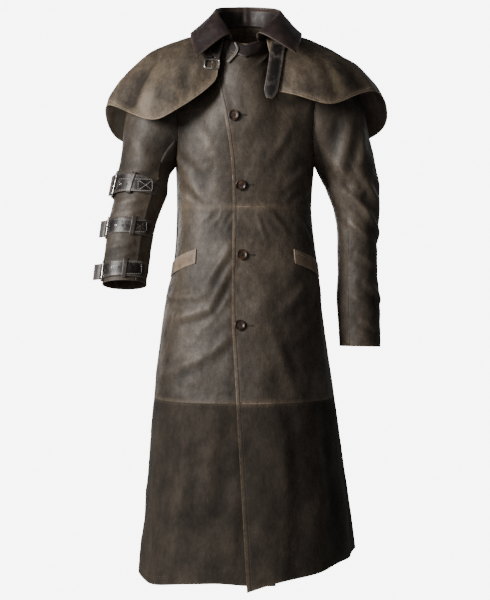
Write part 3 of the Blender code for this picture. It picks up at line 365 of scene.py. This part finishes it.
def dress(node, form, material, lining, levels, depth=1.0):
    """Replaces a CAD node with its creased shell, whose creases fade towards its rims."""
    mesh = shell_of(node, levels)
    points = np.empty(len(mesh.vertices) * 3)
    mesh.vertices.foreach_get("co", points)
    points = points.reshape(-1, 3)
    tree = rim_tree(mesh)
    edge = np.array([tree.find(point)[2] for point in points])
    folds, waves = creased(points, form)
    folds = folds * CALM.get(form, 1.0)
    _, _, way = spread_of(points, form)
    hold = np.clip(edge / 0.012, 0.0, 1.0) if depth < 1.0 else np.clip(0.25 + edge / 0.020, 0.0, 1.0)
    moved = points + way * ((folds + waves) * hold * depth)[:, None]
    rims = np.zeros_like(points)
    for polygon in mesh.polygons:
        corners = list(polygon.vertices)
        if edge[corners].max() < ON_RIM:
            rims[corners] += np.array(polygon.normal)
    size = np.linalg.norm(rims, axis=1)
    growth = BODY_RIM_GROWTH if form == "body" else OTHER_RIM_GROWTH
    moved += rims / np.maximum(size, 1e-9)[:, None] * growth
    if form in ("body", "cape"):
        seam = (np.abs(moved[:, 0]) < CENTRE_BACK_REACH) & (moved[:, 1] > 0.02) & (edge < NEAR_RIM)
        moved[seam, 0] = 0.0
    mesh.vertices.foreach_set("co", moved.ravel())
    shown_edge = edge + (1.0 - rawness(node, points)) * 0.012
    for name, values in (("edge", shown_edge), ("fold", folds * hold * 300.0)):
        layer = mesh.attributes.new(name, "FLOAT", "POINT")
        layer.data.foreach_set("value", values.astype(np.float32))
    mesh.update()
    mesh.shade_smooth()
    mesh.set_sharp_from_angle(angle=RIM_ANGLE)
    piece = add_piece(f"{node}_leather", mesh, MATERIALS[material])
    if lining and lining != material:
        mesh.materials.append(MATERIALS[lining])
        normals = np.empty(len(mesh.polygons) * 3)
        centres = np.empty(len(mesh.polygons) * 3)
        mesh.polygons.foreach_get("normal", normals)
        mesh.polygons.foreach_get("center", centres)
        _, _, outward = spread_of(centres.reshape(-1, 3), form)
        inner = (normals.reshape(-1, 3) * outward).sum(axis=1) < -0.25
        mesh.polygons.foreach_set("material_index", inner.astype(np.int32))
    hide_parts(node)
    corners = [tuple(polygon.vertices) for polygon in mesh.polygons]
    SURFACES[node] = BVHTree.FromPolygons([Vector(point) for point in moved], corners)
    return piece


class Paint:
    """A procedural material, built a node at a time."""

    def __init__(self, name, roughness, metallic=0.0):
        self.material = bpy.data.materials.new(name)
        self.material.use_nodes = True
        self.tree = self.material.node_tree
        self.shader = self.tree.nodes["Principled BSDF"]
        self.shader.inputs["Roughness"].default_value = roughness
        self.shader.inputs["Metallic"].default_value = metallic
        self.place = self.tree.nodes.new("ShaderNodeTexCoord").outputs["Object"]

    def node(self, kind, inputs=(), **settings):
        """Adds a node, sets it and links or fills its inputs."""
        made = self.tree.nodes.new(kind)
        for key, value in settings.items():
            setattr(made, key, value)
        for key, value in dict(inputs).items():
            if isinstance(value, bpy.types.NodeSocket):
                self.tree.links.new(value, made.inputs[key])
            else:
                made.inputs[key].default_value = value
        return made

    def noise(self, scale, detail=4.0, roughness=0.55, stretch=(1.0, 1.0, 1.0), at=(0.0, 0.0, 0.0)):
        """Noise in the coat's own space."""
        place = self.node("ShaderNodeMapping", {"Vector": self.place, "Scale": stretch, "Location": at})
        inputs = {"Vector": place.outputs[0], "Scale": scale, "Detail": detail, "Roughness": roughness}
        return self.node("ShaderNodeTexNoise", inputs).outputs["Fac"]

    def math(self, operation, first, second=0.0):
        """One sum."""
        return self.node("ShaderNodeMath", {0: first, 1: second}, operation=operation).outputs[0]

    def ramp(self, value, *stops):
        """A colour or grey by value. Each stop is its place and its colour."""
        made = self.node("ShaderNodeValToRGB", {"Fac": value})
        band = made.color_ramp
        while len(band.elements) < len(stops):
            band.elements.new(0.5)
        for element, (place, colour) in zip(band.elements, stops):
            element.position = place
            element.color = (*colour, 1.0) if len(colour) == 3 else (colour[0], colour[0], colour[0], 1.0)
        return made.outputs["Color"]

    def mixed(self, share, first, second, blend="MIX"):
        """Two colours mixed."""
        made = self.node("ShaderNodeMix", {0: share}, data_type="RGBA", blend_type=blend)
        for key, value in ((6, first), (7, second)):
            if isinstance(value, bpy.types.NodeSocket):
                self.tree.links.new(value, made.inputs[key])
            else:
                made.inputs[key].default_value = (*value, 1.0)
        return made.outputs[2]

    def ranged(self, value, low, high, at_low, at_high):
        """A value's range turned into another."""
        inputs = {0: value, 1: low, 2: high, 3: at_low, 4: at_high}
        return self.node("ShaderNodeMapRange", inputs).outputs[0]

    def attribute(self, name):
        """A number that the mesh carries."""
        return self.node("ShaderNodeAttribute", attribute_name=name).outputs["Fac"]

    def finish(self, colour, bumps, roughness=None):
        """Links the colour, the bumps, each a height and a depth in metres, and the roughness."""
        self.tree.links.new(colour, self.shader.inputs["Base Color"])
        normal = None
        for height, deep in bumps:
            inputs = {"Height": height, "Distance": deep, "Strength": 1.0}
            if normal is not None:
                inputs["Normal"] = normal
            normal = self.node("ShaderNodeBump", inputs).outputs[0]
        if normal is not None:
            self.tree.links.new(normal, self.shader.inputs["Normal"])
        if roughness is not None:
            self.tree.links.new(roughness, self.shader.inputs["Roughness"])
        return self.material


# Leathers. Columns: dark, middle, light, raw edge, edge width, roughness low, high, patch scale, grain depth
LEATHERS = {
    "body": ((0.022, 0.016, 0.011), (0.066, 0.050, 0.036), (0.150, 0.117, 0.085), (0.25, 0.18, 0.12), 0.0022,
             0.44, 0.66, 8.0, 0.00022),
    "suede": ((0.012, 0.008, 0.005), (0.026, 0.018, 0.011), (0.052, 0.036, 0.022), (0.14, 0.10, 0.06), 0.0016,
              0.74, 0.94, 13.0, 0.00030),
    "cape": ((0.026, 0.018, 0.011), (0.078, 0.057, 0.037), (0.190, 0.144, 0.094), (0.36, 0.27, 0.18), 0.0026,
             0.56, 0.78, 15.0, 0.00026),
    "collar": ((0.006, 0.003, 0.003), (0.021, 0.012, 0.012), (0.062, 0.040, 0.036), (0.12, 0.08, 0.06),
               0.0014, 0.42, 0.64, 18.0, 0.00018),
    # The strap's light tone and pale raw edge are partly worn leather and partly painted highlight along its
    # edges and on its rubbed spots
    "strap": ((0.004, 0.003, 0.003), (0.010, 0.007, 0.007), (0.130, 0.110, 0.100), (0.24, 0.20, 0.17), 0.0012,
              0.24, 0.52, 34.0, 0.00012),
    "welt": ((0.120, 0.082, 0.054), (0.230, 0.165, 0.112), (0.330, 0.250, 0.180), (0.42, 0.32, 0.23), 0.0016,
             0.52, 0.72, 22.0, 0.00018),
    "inside": ((0.060, 0.042, 0.030), (0.110, 0.080, 0.058), (0.170, 0.130, 0.096), (0.26, 0.19, 0.13),
               0.0016, 0.80, 0.95, 8.0, 0.00024),
    "cape_inside": ((0.300, 0.240, 0.180), (0.470, 0.400, 0.320), (0.600, 0.530, 0.440),
                    (0.52, 0.42, 0.31), 0.0016, 0.84, 0.96, 14.0, 0.00026),
}


def leather(name):
    """Worn leather: patches, scuffs, pores, pale raw edges (on the straps partly painted highlight), and
    creases lighter on their ridges as rubbed wear and painted highlight and darker in their valleys as
    painted shade.
    """
    dark, middle, light, raw, edge_width, low, high, scale, deep = LEATHERS[name]
    paint = Paint(f"{name}_leather", high)
    patches = paint.noise(scale, 5.0, 0.62)
    streaks = paint.noise(scale * 3.4, 6.0, 0.68, (1.0, 1.0, 0.36), (3.1, 0.7, 1.9))
    scuffs = paint.noise(scale * 11.0, 7.0, 0.74, (1.0, 1.0, 0.8), (0.4, 5.2, 2.2))
    tone = paint.math("ADD", paint.math("MULTIPLY", patches, 0.50), paint.math("MULTIPLY", streaks, 0.30))
    tone = paint.math("ADD", tone, paint.math("MULTIPLY", scuffs, 0.20))
    # Creases lighten the colour on their ridges, as rubbed wear and painted highlight, and darken it in their
    # valleys as painted shade
    creased_wear_and_shade = paint.math("MULTIPLY", paint.attribute("fold"), 0.055)
    tone = paint.math("ADD", tone, creased_wear_and_shade)
    colour = paint.ramp(tone, (0.37, dark), (0.50, middle), (0.66, light))
    specks = paint.ramp(paint.noise(scale * 55.0, 3.0, 0.6), (0.30, (0.72,)), (0.62, (1.16,)))
    colour = paint.mixed(1.0, colour, specks, "MULTIPLY")
    edge = paint.attribute("edge")
    near = paint.ranged(edge, 0.3 * edge_width, edge_width, 1.0, 0.0)
    soft = paint.ranged(edge, 0.0, 7.0 * edge_width, 0.42, 0.0)
    worn = paint.ramp(scuffs, (0.36, (0.25,)), (0.56, (1.0,)))
    near = paint.math("MULTIPLY", paint.math("MAXIMUM", near, soft), worn)
    colour = paint.mixed(near, colour, raw)
    pores = paint.node("ShaderNodeTexVoronoi", {"Vector": paint.place, "Scale": 620.0}).outputs["Distance"]
    fine = paint.noise(240.0, 5.0, 0.66)
    coarse = paint.noise(58.0, 4.0, 0.60, (1.0, 1.0, 0.7))
    rough = paint.ranged(tone, 0.38, 0.64, high, low)
    bumps = ((coarse, 6.0 * deep), (fine, 1.6 * deep), (pores, deep))
    return paint.finish(colour, bumps, rough)


def metal():
    """Bright plated wire with scratches and patches of tarnish."""
    paint = Paint("buckle_metal_finish", 0.22, 1.0)
    cloud = paint.noise(60.0, 5.0, 0.65)
    scratches = paint.noise(420.0, 3.0, 0.6, (1.0, 1.0, 0.15))
    colour = paint.ramp(cloud, (0.34, (0.36, 0.34, 0.31)), (0.50, (0.74, 0.73, 0.71)),
                        (0.66, (0.90, 0.89, 0.87)))
    rough = paint.ramp(scratches, (0.36, (0.14,)), (0.66, (0.40,)))
    return paint.finish(colour, ((scratches, 0.00004),), rough)


def horn():
    """Dark horn with a soft figure."""
    paint = Paint("button_horn_finish", 0.3)
    figure = paint.noise(120.0, 5.0, 0.6, (1.0, 1.0, 0.3))
    colour = paint.ramp(figure, (0.36, (0.012, 0.007, 0.005)), (0.52, (0.046, 0.024, 0.014)),
                        (0.70, (0.115, 0.062, 0.034)))
    rough = paint.ramp(figure, (0.35, (0.20,)), (0.65, (0.42,)))
    return paint.finish(colour, ((paint.noise(500.0), 0.00003),), rough)


def plain(name, dark, light, scale, roughness, deep):
    """Thread, the dark wire that is painted shade in the closing's groove, the pale wire that is a painted
    highlight on the throat curl, and the floor.
    """
    paint = Paint(name, roughness)
    grain = paint.noise(scale, 4.0, 0.6)
    return paint.finish(paint.ramp(grain, (0.35, dark), (0.65, light)), ((grain, deep),))


MATERIALS = {name: leather(name) for name in LEATHERS}
MATERIALS["metal"] = metal()
MATERIALS["horn"] = horn()
# Threads; the dark one also paints the shade in a groove, and the pale one a highlight on the throat curl.
# Columns: name, dark, light, roughness
for name, dark, light, roughness in (
    ("tan_thread", (0.120, 0.085, 0.056), (0.260, 0.195, 0.135), 0.75),
    ("pale_thread", (0.400, 0.360, 0.310), (0.660, 0.610, 0.540), 0.7),
    ("white_thread", (0.700, 0.660, 0.600), (0.900, 0.870, 0.820), 0.7),
    ("dark_thread", (0.014, 0.010, 0.008), (0.040, 0.030, 0.024), 0.75),
):
    MATERIALS[name] = plain(name, dark, light, 900.0, roughness, 0.0001)
MATERIALS["floor"] = plain("pale_floor", (0.80, 0.80, 0.79), (0.86, 0.86, 0.85), 3.0, 0.8, 0.0002)

for node, form, material, lining, levels, wide, long, area in CLOTH:
    piece = dress(node, form, material, lining, levels)
for node, form, material, levels in STRIPS:
    dress(node, form, material, None, levels, depth=0.25)


def through(points, pitch):
    """Points a pitch apart on a smooth curve through others."""
    knots = np.array(points)
    padded = np.vstack((2.0 * knots[0] - knots[1], knots, 2.0 * knots[-1] - knots[-2]))
    fine = []
    for k in range(1, len(padded) - 2):
        a, b, c, d = padded[k - 1 : k + 3]
        for share in np.linspace(0.0, 1.0, 24, endpoint=False):
            fine.append(0.5 * (2.0 * b + (c - a) * share + (2.0 * a - 5.0 * b + 4.0 * c - d) * share**2
                               + (3.0 * b - a - 3.0 * c + d) * share**3))
    fine.append(knots[-1])
    fine = np.array(fine)
    run = np.concatenate(((0.0,), np.cumsum(np.linalg.norm(np.diff(fine, axis=0), axis=1))))
    at = np.arange(0.5 * pitch, run[-1], pitch)
    return np.stack([np.interp(at, run, fine[:, k]) for k in range(3)], axis=1)


def rim_points(node, keep, key):
    """A node's rim points that are kept, in order, with near twins made one."""
    corners = {tuple(np.round(v.co, 5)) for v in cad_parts[node].data.vertices}
    found = sorted((np.array(p) for p in corners if keep(*p)), key=lambda p: key(*p))
    merged = []
    for point in found:
        if merged and np.linalg.norm(merged[-1][0] - point) < 0.004:
            total, count = merged[-1]
            merged[-1] = ((total * count + point) / (count + 1), count + 1)
        else:
            merged.append((point, 1))
    return [point for point, _ in merged]


def laid(node, form, points, inward=None, offset=0.0):
    """Points moved over a node's own surface from its outside, each with the surface's direction."""
    result = []
    _, _, ways = spread_of(np.array(points), form)
    for point, way in zip(points, ways):
        way = Vector(way)
        start = Vector(point) + way * 0.005
        if inward is not None:
            start += Vector(inward(*point)).normalized() * offset
        spot, normal, _, _ = SURFACES[node].find_nearest(start)
        if normal.dot(way) < 0.0:
            normal = -normal
        result.append((spot, normal))
    return result


def sew(name, path, material, long=0.0030, wide=0.0007, tall=0.0005):
    """Stitches along a path of spots and directions."""
    shape = bmesh.new()
    for (spot, normal), (after, _) in zip(path[:-1], path[1:]):
        run = after - spot
        if run.length < 1e-6 or run.length > 0.012:
            continue
        run.normalize()
        side = run.cross(normal).normalized() * (0.5 * wide)
        up = normal * tall
        ends = (spot - normal * 0.0002, spot + run * long - normal * 0.0002)
        middle = [ends[0].lerp(ends[1], share) for share in (0.22, 0.78)]
        rows = [(ends[0],), *[(m - side, m + up, m + side) for m in middle], (ends[1],)]
        verts = [[shape.verts.new(p) for p in row] for row in rows]
        for k in range(3):
            after_k = (k + 1) % 3
            shape.faces.new((verts[0][0], verts[1][k], verts[1][after_k]))
            shape.faces.new((verts[1][k], verts[2][k], verts[2][after_k], verts[1][after_k]))
            shape.faces.new((verts[2][k], verts[3][0], verts[2][after_k]))
    bmesh.ops.recalc_face_normals(shape, faces=shape.faces)
    mesh = bpy.data.meshes.new(name)
    shape.to_mesh(mesh)
    shape.free()
    mesh.shade_smooth()
    return add_piece(name, mesh, MATERIALS[material])


def tube(name, points, radius, material, body="coat", closed=False, sides=2):
    """A round wire."""
    curve = bpy.data.curves.new(name, "CURVE")
    curve.dimensions = "3D"
    curve.bevel_depth = radius
    curve.bevel_resolution = sides
    curve.use_fill_caps = True
    spline = curve.splines.new("POLY")
    spline.points.add(len(points) - 1)
    spline.use_cyclic_u = closed
    for knot, point in zip(spline.points, points):
        knot.co = (*point, 1.0)
    curve.materials.append(MATERIALS[material])
    piece = bpy.data.objects.new(name, curve)
    bpy.context.scene.collection.objects.link(piece)
    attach(piece, body)
    return piece


def on_closing(x, y, z):
    """Whether a point lies by the front edge that laps over."""
    return y < -0.06 and -0.065 < x < 0.022


def by_height(x, y, z):
    """Orders points upwards."""
    return z


def by_turn(x, y, z):
    """Orders points round the body, from the back by the wearer's right."""
    return math.atan2(x, -y)


def to_left(x, y, z):
    """The way in from the closing's edge."""
    return (1.0, 0.0, 0.0)


def upward(x, y, z):
    """The way in from a lower edge."""
    return (0.0, 0.0, 1.0)


def downward(x, y, z):
    """The way in from an upper edge."""
    return (0.0, 0.0, -1.0)


def to_neck(x, y, z):
    """The way in from the cape's hem."""
    return (-x, CAPE_MIDDLE_Y - y, 0.02 - z)


# Cross seams. Columns: part, number in the name, heights from the origin between which the rim lies,
# and for each row of stitches the way in and the distance
CROSS_SEAMS = (
    ("lower", 1310, -1.400, -1.290, ((upward, 0.016), (upward, 0.021))),
    ("lower", 880, -0.880, -0.868, ((downward, 0.004),)),
    ("skirt", 880, -0.880, -0.868, ((upward, 0.004),)),
    ("skirt", 425, -0.425, -0.412, ((downward, 0.004),)),
    ("chest", 422, -0.422, -0.410, ((upward, 0.0045),)),
)
CLOSING_PITCH = 0.0042
SEAM_PITCH = 0.0046


for part in ("chest", "skirt", "lower"):
    node = f"{part}_front_left"
    row = rim_points(node, on_closing, by_height)
    row = [p for p in row if abs(p[0] - min(q[0] for q in row if abs(q[2] - p[2]) < 0.02)) < 0.006]
    for number, offset in enumerate((0.0045, 0.0115)):
        path = laid(node, "body", through(row, CLOSING_PITCH), to_left, offset)
        sew(f"{part}_closing_stitches_{number}", path, "tan_thread")
    # A dark wire laid into the leather between the closing's stitch rows is painted shade in the groove there
    path = laid(node, "body", through(row, CLOSING_PITCH), to_left, 0.0078)
    tube(f"{part}_closing_groove_painted_shade", [spot - normal * 0.0003 for spot, normal in path], 0.0009, "dark_thread",
         sides=1)
for side in ("front_right", "front_left", "back_right", "back_left"):
    for part, mark, low, high, ways in CROSS_SEAMS:
        node = f"{part}_{side}"
        row = rim_points(node, lambda x, y, z: low < z < high, by_turn)
        if side == "back_right":
            row = sorted(row, key=lambda p: math.atan2(-p[0], p[1]))
        if len(row) < 3:
            continue
        for number, (inward, offset) in enumerate(ways):
            path = laid(node, "body", through(row, SEAM_PITCH), inward, offset)
            sew(f"{node}_{mark}_stitches_{number}", path, "tan_thread")

# The cape's hem is the farthest point in each 6 degrees, without the dips that lie inside it
for node, sign in (("cape_right", -1.0), ("cape_left", 1.0)):
    reach = {}
    for p in rim_points(node, lambda x, y, z: True, by_height):
        key = round(math.degrees(math.atan2(sign * p[0], -(p[1] - CAPE_MIDDLE_Y))) / 6.0)
        if key not in reach or np.linalg.norm(p) > np.linalg.norm(reach[key]):
            reach[key] = p
    row = [reach[key] for key in sorted(reach)]
    far = [np.linalg.norm(p) for p in row]
    row = [p for k, p in enumerate(row)
           if k in (0, len(row) - 1) or far[k] > 0.465 * (far[k - 1] + far[k + 1])]
    path = laid(node, "cape", through(row, SEAM_PITCH), to_neck, 0.0065)
    sew(f"{node}_hem_stitches", path, "pale_thread", wide=0.0009)


def frame_of(node):
    """The four corners of a rectangular wire, in order round it."""
    points = np.array([v.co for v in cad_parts[node].data.vertices])
    middle = points.mean(axis=0)
    corners = [points[np.argmax(np.linalg.norm(points - middle, axis=1))]]
    corners.append(points[np.argmax(np.linalg.norm(points - corners[0], axis=1))])
    for _ in range(2):
        far = np.min([np.linalg.norm(points - c, axis=1) for c in corners], axis=0)
        corners.append(points[np.argmax(far)])
    groups = [[] for _ in corners]
    for point in points:
        groups[int(np.argmin([np.linalg.norm(point - c) for c in corners]))].append(point)
    a, c, b, d = [np.mean(np.unique(np.round(group, 6), axis=0), axis=0) for group in groups]
    return a, b, c, d


def rounded(corners, radius):
    """A rectangle's outline with round corners."""
    made = []
    for k in range(4):
        before, at, after = corners[k - 1], corners[k], corners[(k + 1) % 4]
        start = (before - at) / np.linalg.norm(before - at) * radius
        end = (after - at) / np.linalg.norm(after - at) * radius
        for angle in np.radians((0.0, 22.5, 45.0, 67.5, 90.0)):
            made.append(at + start * (1.0 - math.sin(angle)) + end * (1.0 - math.cos(angle)))
    return made


# Buckle wires. Columns: node, wire radius, body
for node, radius, body in (("sleeve_buckle_1", 0.0019, "coat"), ("sleeve_buckle_2", 0.0019, "coat"),
                           ("sleeve_buckle_3", 0.0019, "coat"), ("throat_buckle", 0.0018, "latch_frame")):
    wire = tube(f"{node}_wire", rounded(frame_of(node), 0.0045), radius, "metal", body=body,
                closed=True)
    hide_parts(node)
for node in ("sleeve_prong_1", "sleeve_prong_2", "sleeve_prong_3", "throat_prong"):
    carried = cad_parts[node]
    carried.data.materials.clear()
    carried.data.materials.append(MATERIALS["metal"])


def circle(middle, across, up, radius, count):
    """A ring of points round a middle."""
    turns = np.linspace(0.0, 2.0 * math.pi, count + 1)[:-1]
    return [middle + (across * math.cos(turn) + up * math.sin(turn)) * radius for turn in turns]


# A button's turned form. Columns: radius, height above the leather
BUTTON_PROFILE = ((0.0060, 0.0023), (0.0088, 0.0026), (0.0097, 0.0038), (0.0108, 0.0045),
                  (0.0120, 0.0043), (0.0128, 0.0032), (0.0124, 0.0016), (0.0100, 0.0004))
BUTTON_SIDES = 40
HOLE_OFFSET = 0.0026

# A square's corners, in order
SQUARE = ((-1, -1), (1, -1), (1, 1), (-1, 1))


def make_button(number):
    """A turned four-hole button with its thread, and a buttonhole beside it."""
    node = f"button_{number}"
    points = np.array([v.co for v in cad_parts[node].data.vertices])
    middle = points.mean(axis=0)
    _, _, axes = np.linalg.svd(points - middle, full_matrices=False)
    out = axes[2] if axes[2][1] < 0.0 else -axes[2]
    low = middle + out * ((points - middle) @ out).min()
    right = np.cross((0.0, 0.0, 1.0), -out)
    right /= np.linalg.norm(right)
    up = np.cross(out, right)
    up *= 1.0 if up[2] > 0.0 else -1.0
    right = np.cross(up, out)
    shape = bmesh.new()
    rings = []
    for radius, tall in BUTTON_PROFILE:
        ring = circle(low + out * tall, right, up, radius, BUTTON_SIDES)
        rings.append([shape.verts.new(point) for point in ring])
    for first, second in zip(rings[:-1], rings[1:]):
        for k in range(BUTTON_SIDES):
            after = (k + 1) % BUTTON_SIDES
            shape.faces.new((first[k], first[after], second[after], second[k]))
    shape.faces.new(rings[0])
    shape.faces.new(rings[-1][::-1])
    bmesh.ops.recalc_face_normals(shape, faces=shape.faces)
    mesh = bpy.data.meshes.new(f"{node}_horn")
    shape.to_mesh(mesh)
    shape.free()
    mesh.shade_smooth()
    mesh.set_sharp_from_angle(angle=math.radians(55.0))
    piece = add_piece(f"{node}_horn", mesh, MATERIALS["horn"])
    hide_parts(node)
    spots = [low + (right * a + up * b) * HOLE_OFFSET + out * 0.0023 for a, b in SQUARE]
    for k, spot in enumerate(spots):
        tube(f"{node}_hole_{k}", circle(spot, right, up, 0.0011, 11), 0.00035, "horn",
             closed=True, sides=1)
    for k, (first, second) in enumerate(((0, 2), (1, 3))):
        bend = [spots[first] - out * 0.0008, spots[first] + out * 0.0006,
                spots[second] + out * (0.0006 + 0.0004 * k), spots[second] - out * 0.0008]
        tube(f"{node}_thread_{k}", bend, 0.00055, "dark_thread", sides=1)
    owner = "chest_front_left" if number < 3 else "skirt_front_left"
    start = middle + right * 0.009
    slit = [start + right * s for s in np.linspace(0.0, 0.021, 9)]
    upper = laid(owner, "body", [p + up * 0.0016 for p in slit])
    lower = laid(owner, "body", [p - up * 0.0016 for p in slit])
    ring = [spot + normal * 0.0003 for spot, normal in upper + lower[::-1]]
    tube(f"{node}_buttonhole", ring, 0.0008, "dark_thread", closed=True, sides=1)


for number in (1, 2, 3, 4):
    make_button(number)


def seen(node, x, z):
    """The spot and direction of a piece's surface, met from the front."""
    spot, normal, _, _ = SURFACES[node].ray_cast(Vector((x, -1.0, z)), Vector((0.0, 1.0, 0.0)))
    return (spot, normal if normal.y < 0.0 else -normal) if spot is not None else None


def sew_seen(name, node, corners, material):
    """Stitches through places met from the front."""
    spots = through([(x, 0.0, z) for x, z in corners], CLOSING_PITCH)
    path = [found for found in (seen(node, x, z) for x, _, z in spots) if found is not None]
    if len(path) > 1:
        sew(name, path, material, long=0.0034, wide=0.0014, tall=0.0008)


# Sleeve straps. Columns: number, x of the eyelet and of the sewn end, height at each from the origin,
# thread of the edges, thread of the box
STRAP_MARKS = (
    (1, -0.2940, -0.2160, -0.3630, -0.3650, "white_thread", "white_thread"),
    (2, -0.3040, -0.2290, -0.4600, -0.4620, "pale_thread", "tan_thread"),
    (3, -0.3100, -0.2400, -0.5580, -0.5600, "pale_thread", None),
)
for number, eyelet_x, end_x, first_z, last_z, edge_thread, box_thread in STRAP_MARKS:
    node = f"sleeve_strap_{number}"
    for k, x in enumerate((eyelet_x, eyelet_x + 0.016, eyelet_x + 0.027)):
        found = seen(node, x, first_z)
        if found is None:
            continue
        spot, normal = found
        side = normal.cross(Vector((0.0, 0.0, 1.0))).normalized()
        up = side.cross(normal)
        ring = circle(spot + normal * 0.0002, side, up, 0.0028 if k == 0 else 0.0022, 14)
        tube(f"{node}_eyelet_{k}", ring, 0.0007, "metal" if k == 0 else "dark_thread",
             closed=True, sides=1)
    for k, off in enumerate((-0.0135, 0.0135)):
        middle = (0.5 * (eyelet_x + end_x), 0.5 * (first_z + last_z) + off)
        corners = ((eyelet_x - 0.006, first_z + off), middle, (end_x - 0.002, last_z + off))
        sew_seen(f"{node}_edge_stitches_{k}", node, corners, edge_thread)
    end_row = [(end_x - 0.003, last_z + off) for off in (-0.013, 0.0, 0.013)]
    sew_seen(f"{node}_end_stitches", node, end_row, "white_thread")
    if box_thread:
        box_x = end_x - 0.036
        box_row = [(box_x, last_z + off) for off in (-0.012, 0.0, 0.012)]
        sew_seen(f"{node}_box_stitches", node, box_row, box_thread)
        for k, off in enumerate((0.012, -0.012)):
            corners = ((box_x, last_z - off), (0.5 * (box_x + end_x), last_z), (end_x - 0.003, last_z + off))
            sew_seen(f"{node}_cross_stitches_{k}", node, corners, box_thread)
for name, side in (("right", -1.0), ("left", 1.0)):
    for k, off in enumerate((-0.0125, 0.0125)):
        corners = [(side * x, off + z) for x, z in ((0.113, -0.535), (0.138, -0.545), (0.164, -0.560))]
        sew_seen(f"pocket_welt_{name}_stitches_{k}", f"pocket_welt_{name}", corners, "pale_thread")


def neck_band():
    """The dark band that closes the stand below the collar's opening."""
    rows = []
    for drop in np.linspace(-0.004, 0.026, 7):
        row = []
        for turn in np.radians(np.linspace(-30.0, 58.0, 30)):
            x, y = 0.075 * math.sin(turn), NECK_MIDDLE_Y - 0.086 * math.cos(turn)
            top = 1.258 + 0.020 * min(abs(math.degrees(turn)) / 40.0, 1.3) - HOLD_HEIGHT
            hits = [seen(f"chest_front_{side}", x, top - drop) for side in ("left", "right")]
            near = min([hit[0].y for hit in hits if hit is not None] + [y])
            row.append((x, near - 0.0026 - 0.0010 * math.sin(9.0 * turn + 60.0 * drop), top - drop))
        rows.append(row)
    wide = len(rows[0])
    faces = [(i * wide + j, i * wide + j + 1, (i + 1) * wide + j + 1, (i + 1) * wide + j)
             for i in range(len(rows) - 1) for j in range(wide - 1)]
    mesh = bpy.data.meshes.new("neck_band")
    mesh.from_pydata([p for row in rows for p in row], [], faces)
    layer = mesh.attributes.new("edge", "FLOAT", "POINT")
    edges = [0.001 if i in (0, len(rows) - 1) else 0.01 for i in range(len(rows)) for _ in range(wide)]
    layer.data.foreach_set("value", np.array(edges, dtype=np.float32))
    mesh.shade_smooth()
    piece = add_piece("neck_band", mesh, MATERIALS["collar"])
    thick = piece.modifiers.new("thick", "SOLIDIFY")
    thick.thickness = 0.0016


neck_band()

# The curled edge of the throat strap beside the buckle, with a pale wire along it that is a painted
# highlight. Columns: x, height from the origin
CURL = ((-0.0215, -0.0320), (-0.0165, -0.0450), (-0.0200, -0.0570), (-0.0290, -0.0680), (-0.0400, -0.0800))
curl_spots = []
for x, z in CURL:
    hit = seen("chest_front_left", x, z) or seen("chest_front_right", x, z) or (Vector((x, -0.105, z)), None)
    curl_spots.append((x, hit[0].y - 0.0075, z))
curl = through(curl_spots, 0.0015)
# The pale wire along the curl is a painted highlight on its edge
tube("throat_curl_painted_highlight", curl, 0.0008, "pale_thread")
tube("throat_curl", [(x - 0.0022, y + 0.0012, z + 0.0008) for x, y, z in curl], 0.0024, "strap")

# The camera, at the photo's angle, with half the picture's height at the coat's middle
CAMERA_DISTANCE = 3.6
HALF_PICTURE = 0.729
camera_data = bpy.data.cameras.new("camera")
camera_data.sensor_fit = "VERTICAL"
camera_data.angle = 2.0 * math.atan(HALF_PICTURE / CAMERA_DISTANCE)
camera = bpy.data.objects.new("camera", camera_data)
camera.location = (0.0, -3.598, -0.514)
camera.rotation_euler = (math.radians(88.0), 0.0, 0.0)
bpy.context.scene.collection.objects.link(camera)
bpy.context.scene.camera = camera

# The floor, below the photo's own view
FLOOR_HALF = 1.6
FLOOR_HEIGHT = -2.3
floor_mesh = bpy.data.meshes.new("floor")
floor_corners = [(x * FLOOR_HALF, y * FLOOR_HALF, FLOOR_HEIGHT) for x, y in SQUARE]
floor_mesh.from_pydata(floor_corners, [], [(0, 1, 2, 3)])
floor_mesh.materials.append(MATERIALS["floor"])
floor = bpy.data.objects.new("floor", floor_mesh)
bpy.context.scene.collection.objects.link(floor)

# Soft lights. Columns: name, place, aim, width, power
LIGHTS = (
    ("key", (-3.5, -2.7, 1.0), (0.0, 0.0, -0.50), 1.5, 285.0),
    ("front_fill", (-1.9, -4.2, 0.0), (0.0, 0.0, -0.6), 2.4, 20.0),
    ("back_edge", (2.6, 3.0, 1.2), (0.0, 0.0, -0.4), 1.8, 10.0),
    ("rear_fill", (-1.6, 4.2, 0.3), (0.0, 0.0, -0.6), 2.6, 70.0),
)
for name, place, aim, width, power in LIGHTS:
    lamp = bpy.data.lights.new(name, "AREA")
    lamp.size = width
    lamp.energy = power
    lamp.color = (1.0, 0.980, 0.955)
    holder = bpy.data.objects.new(name, lamp)
    holder.location = place
    holder.rotation_euler = (Vector(aim) - Vector(place)).to_track_quat("-Z", "Y").to_euler()
    bpy.context.scene.collection.objects.link(holder)

# The world lights the coat faintly, and the camera alone sees a bright white one behind it
world = bpy.data.worlds.new("studio")
world.use_nodes = True
sky = world.node_tree
sky.nodes["Background"].inputs["Color"].default_value = (1.0, 1.0, 1.0, 1.0)
sky.nodes["Background"].inputs["Strength"].default_value = 0.085
shown = sky.nodes.new("ShaderNodeBackground")
shown.inputs["Strength"].default_value = 9.0
path_kind = sky.nodes.new("ShaderNodeLightPath")
join = sky.nodes.new("ShaderNodeMixShader")
sky.links.new(path_kind.outputs["Is Camera Ray"], join.inputs[0])
sky.links.new(sky.nodes["Background"].outputs[0], join.inputs[1])
sky.links.new(shown.outputs[0], join.inputs[2])
sky.links.new(join.outputs[0], sky.nodes["World Output"].inputs["Surface"])
bpy.context.scene.world = world
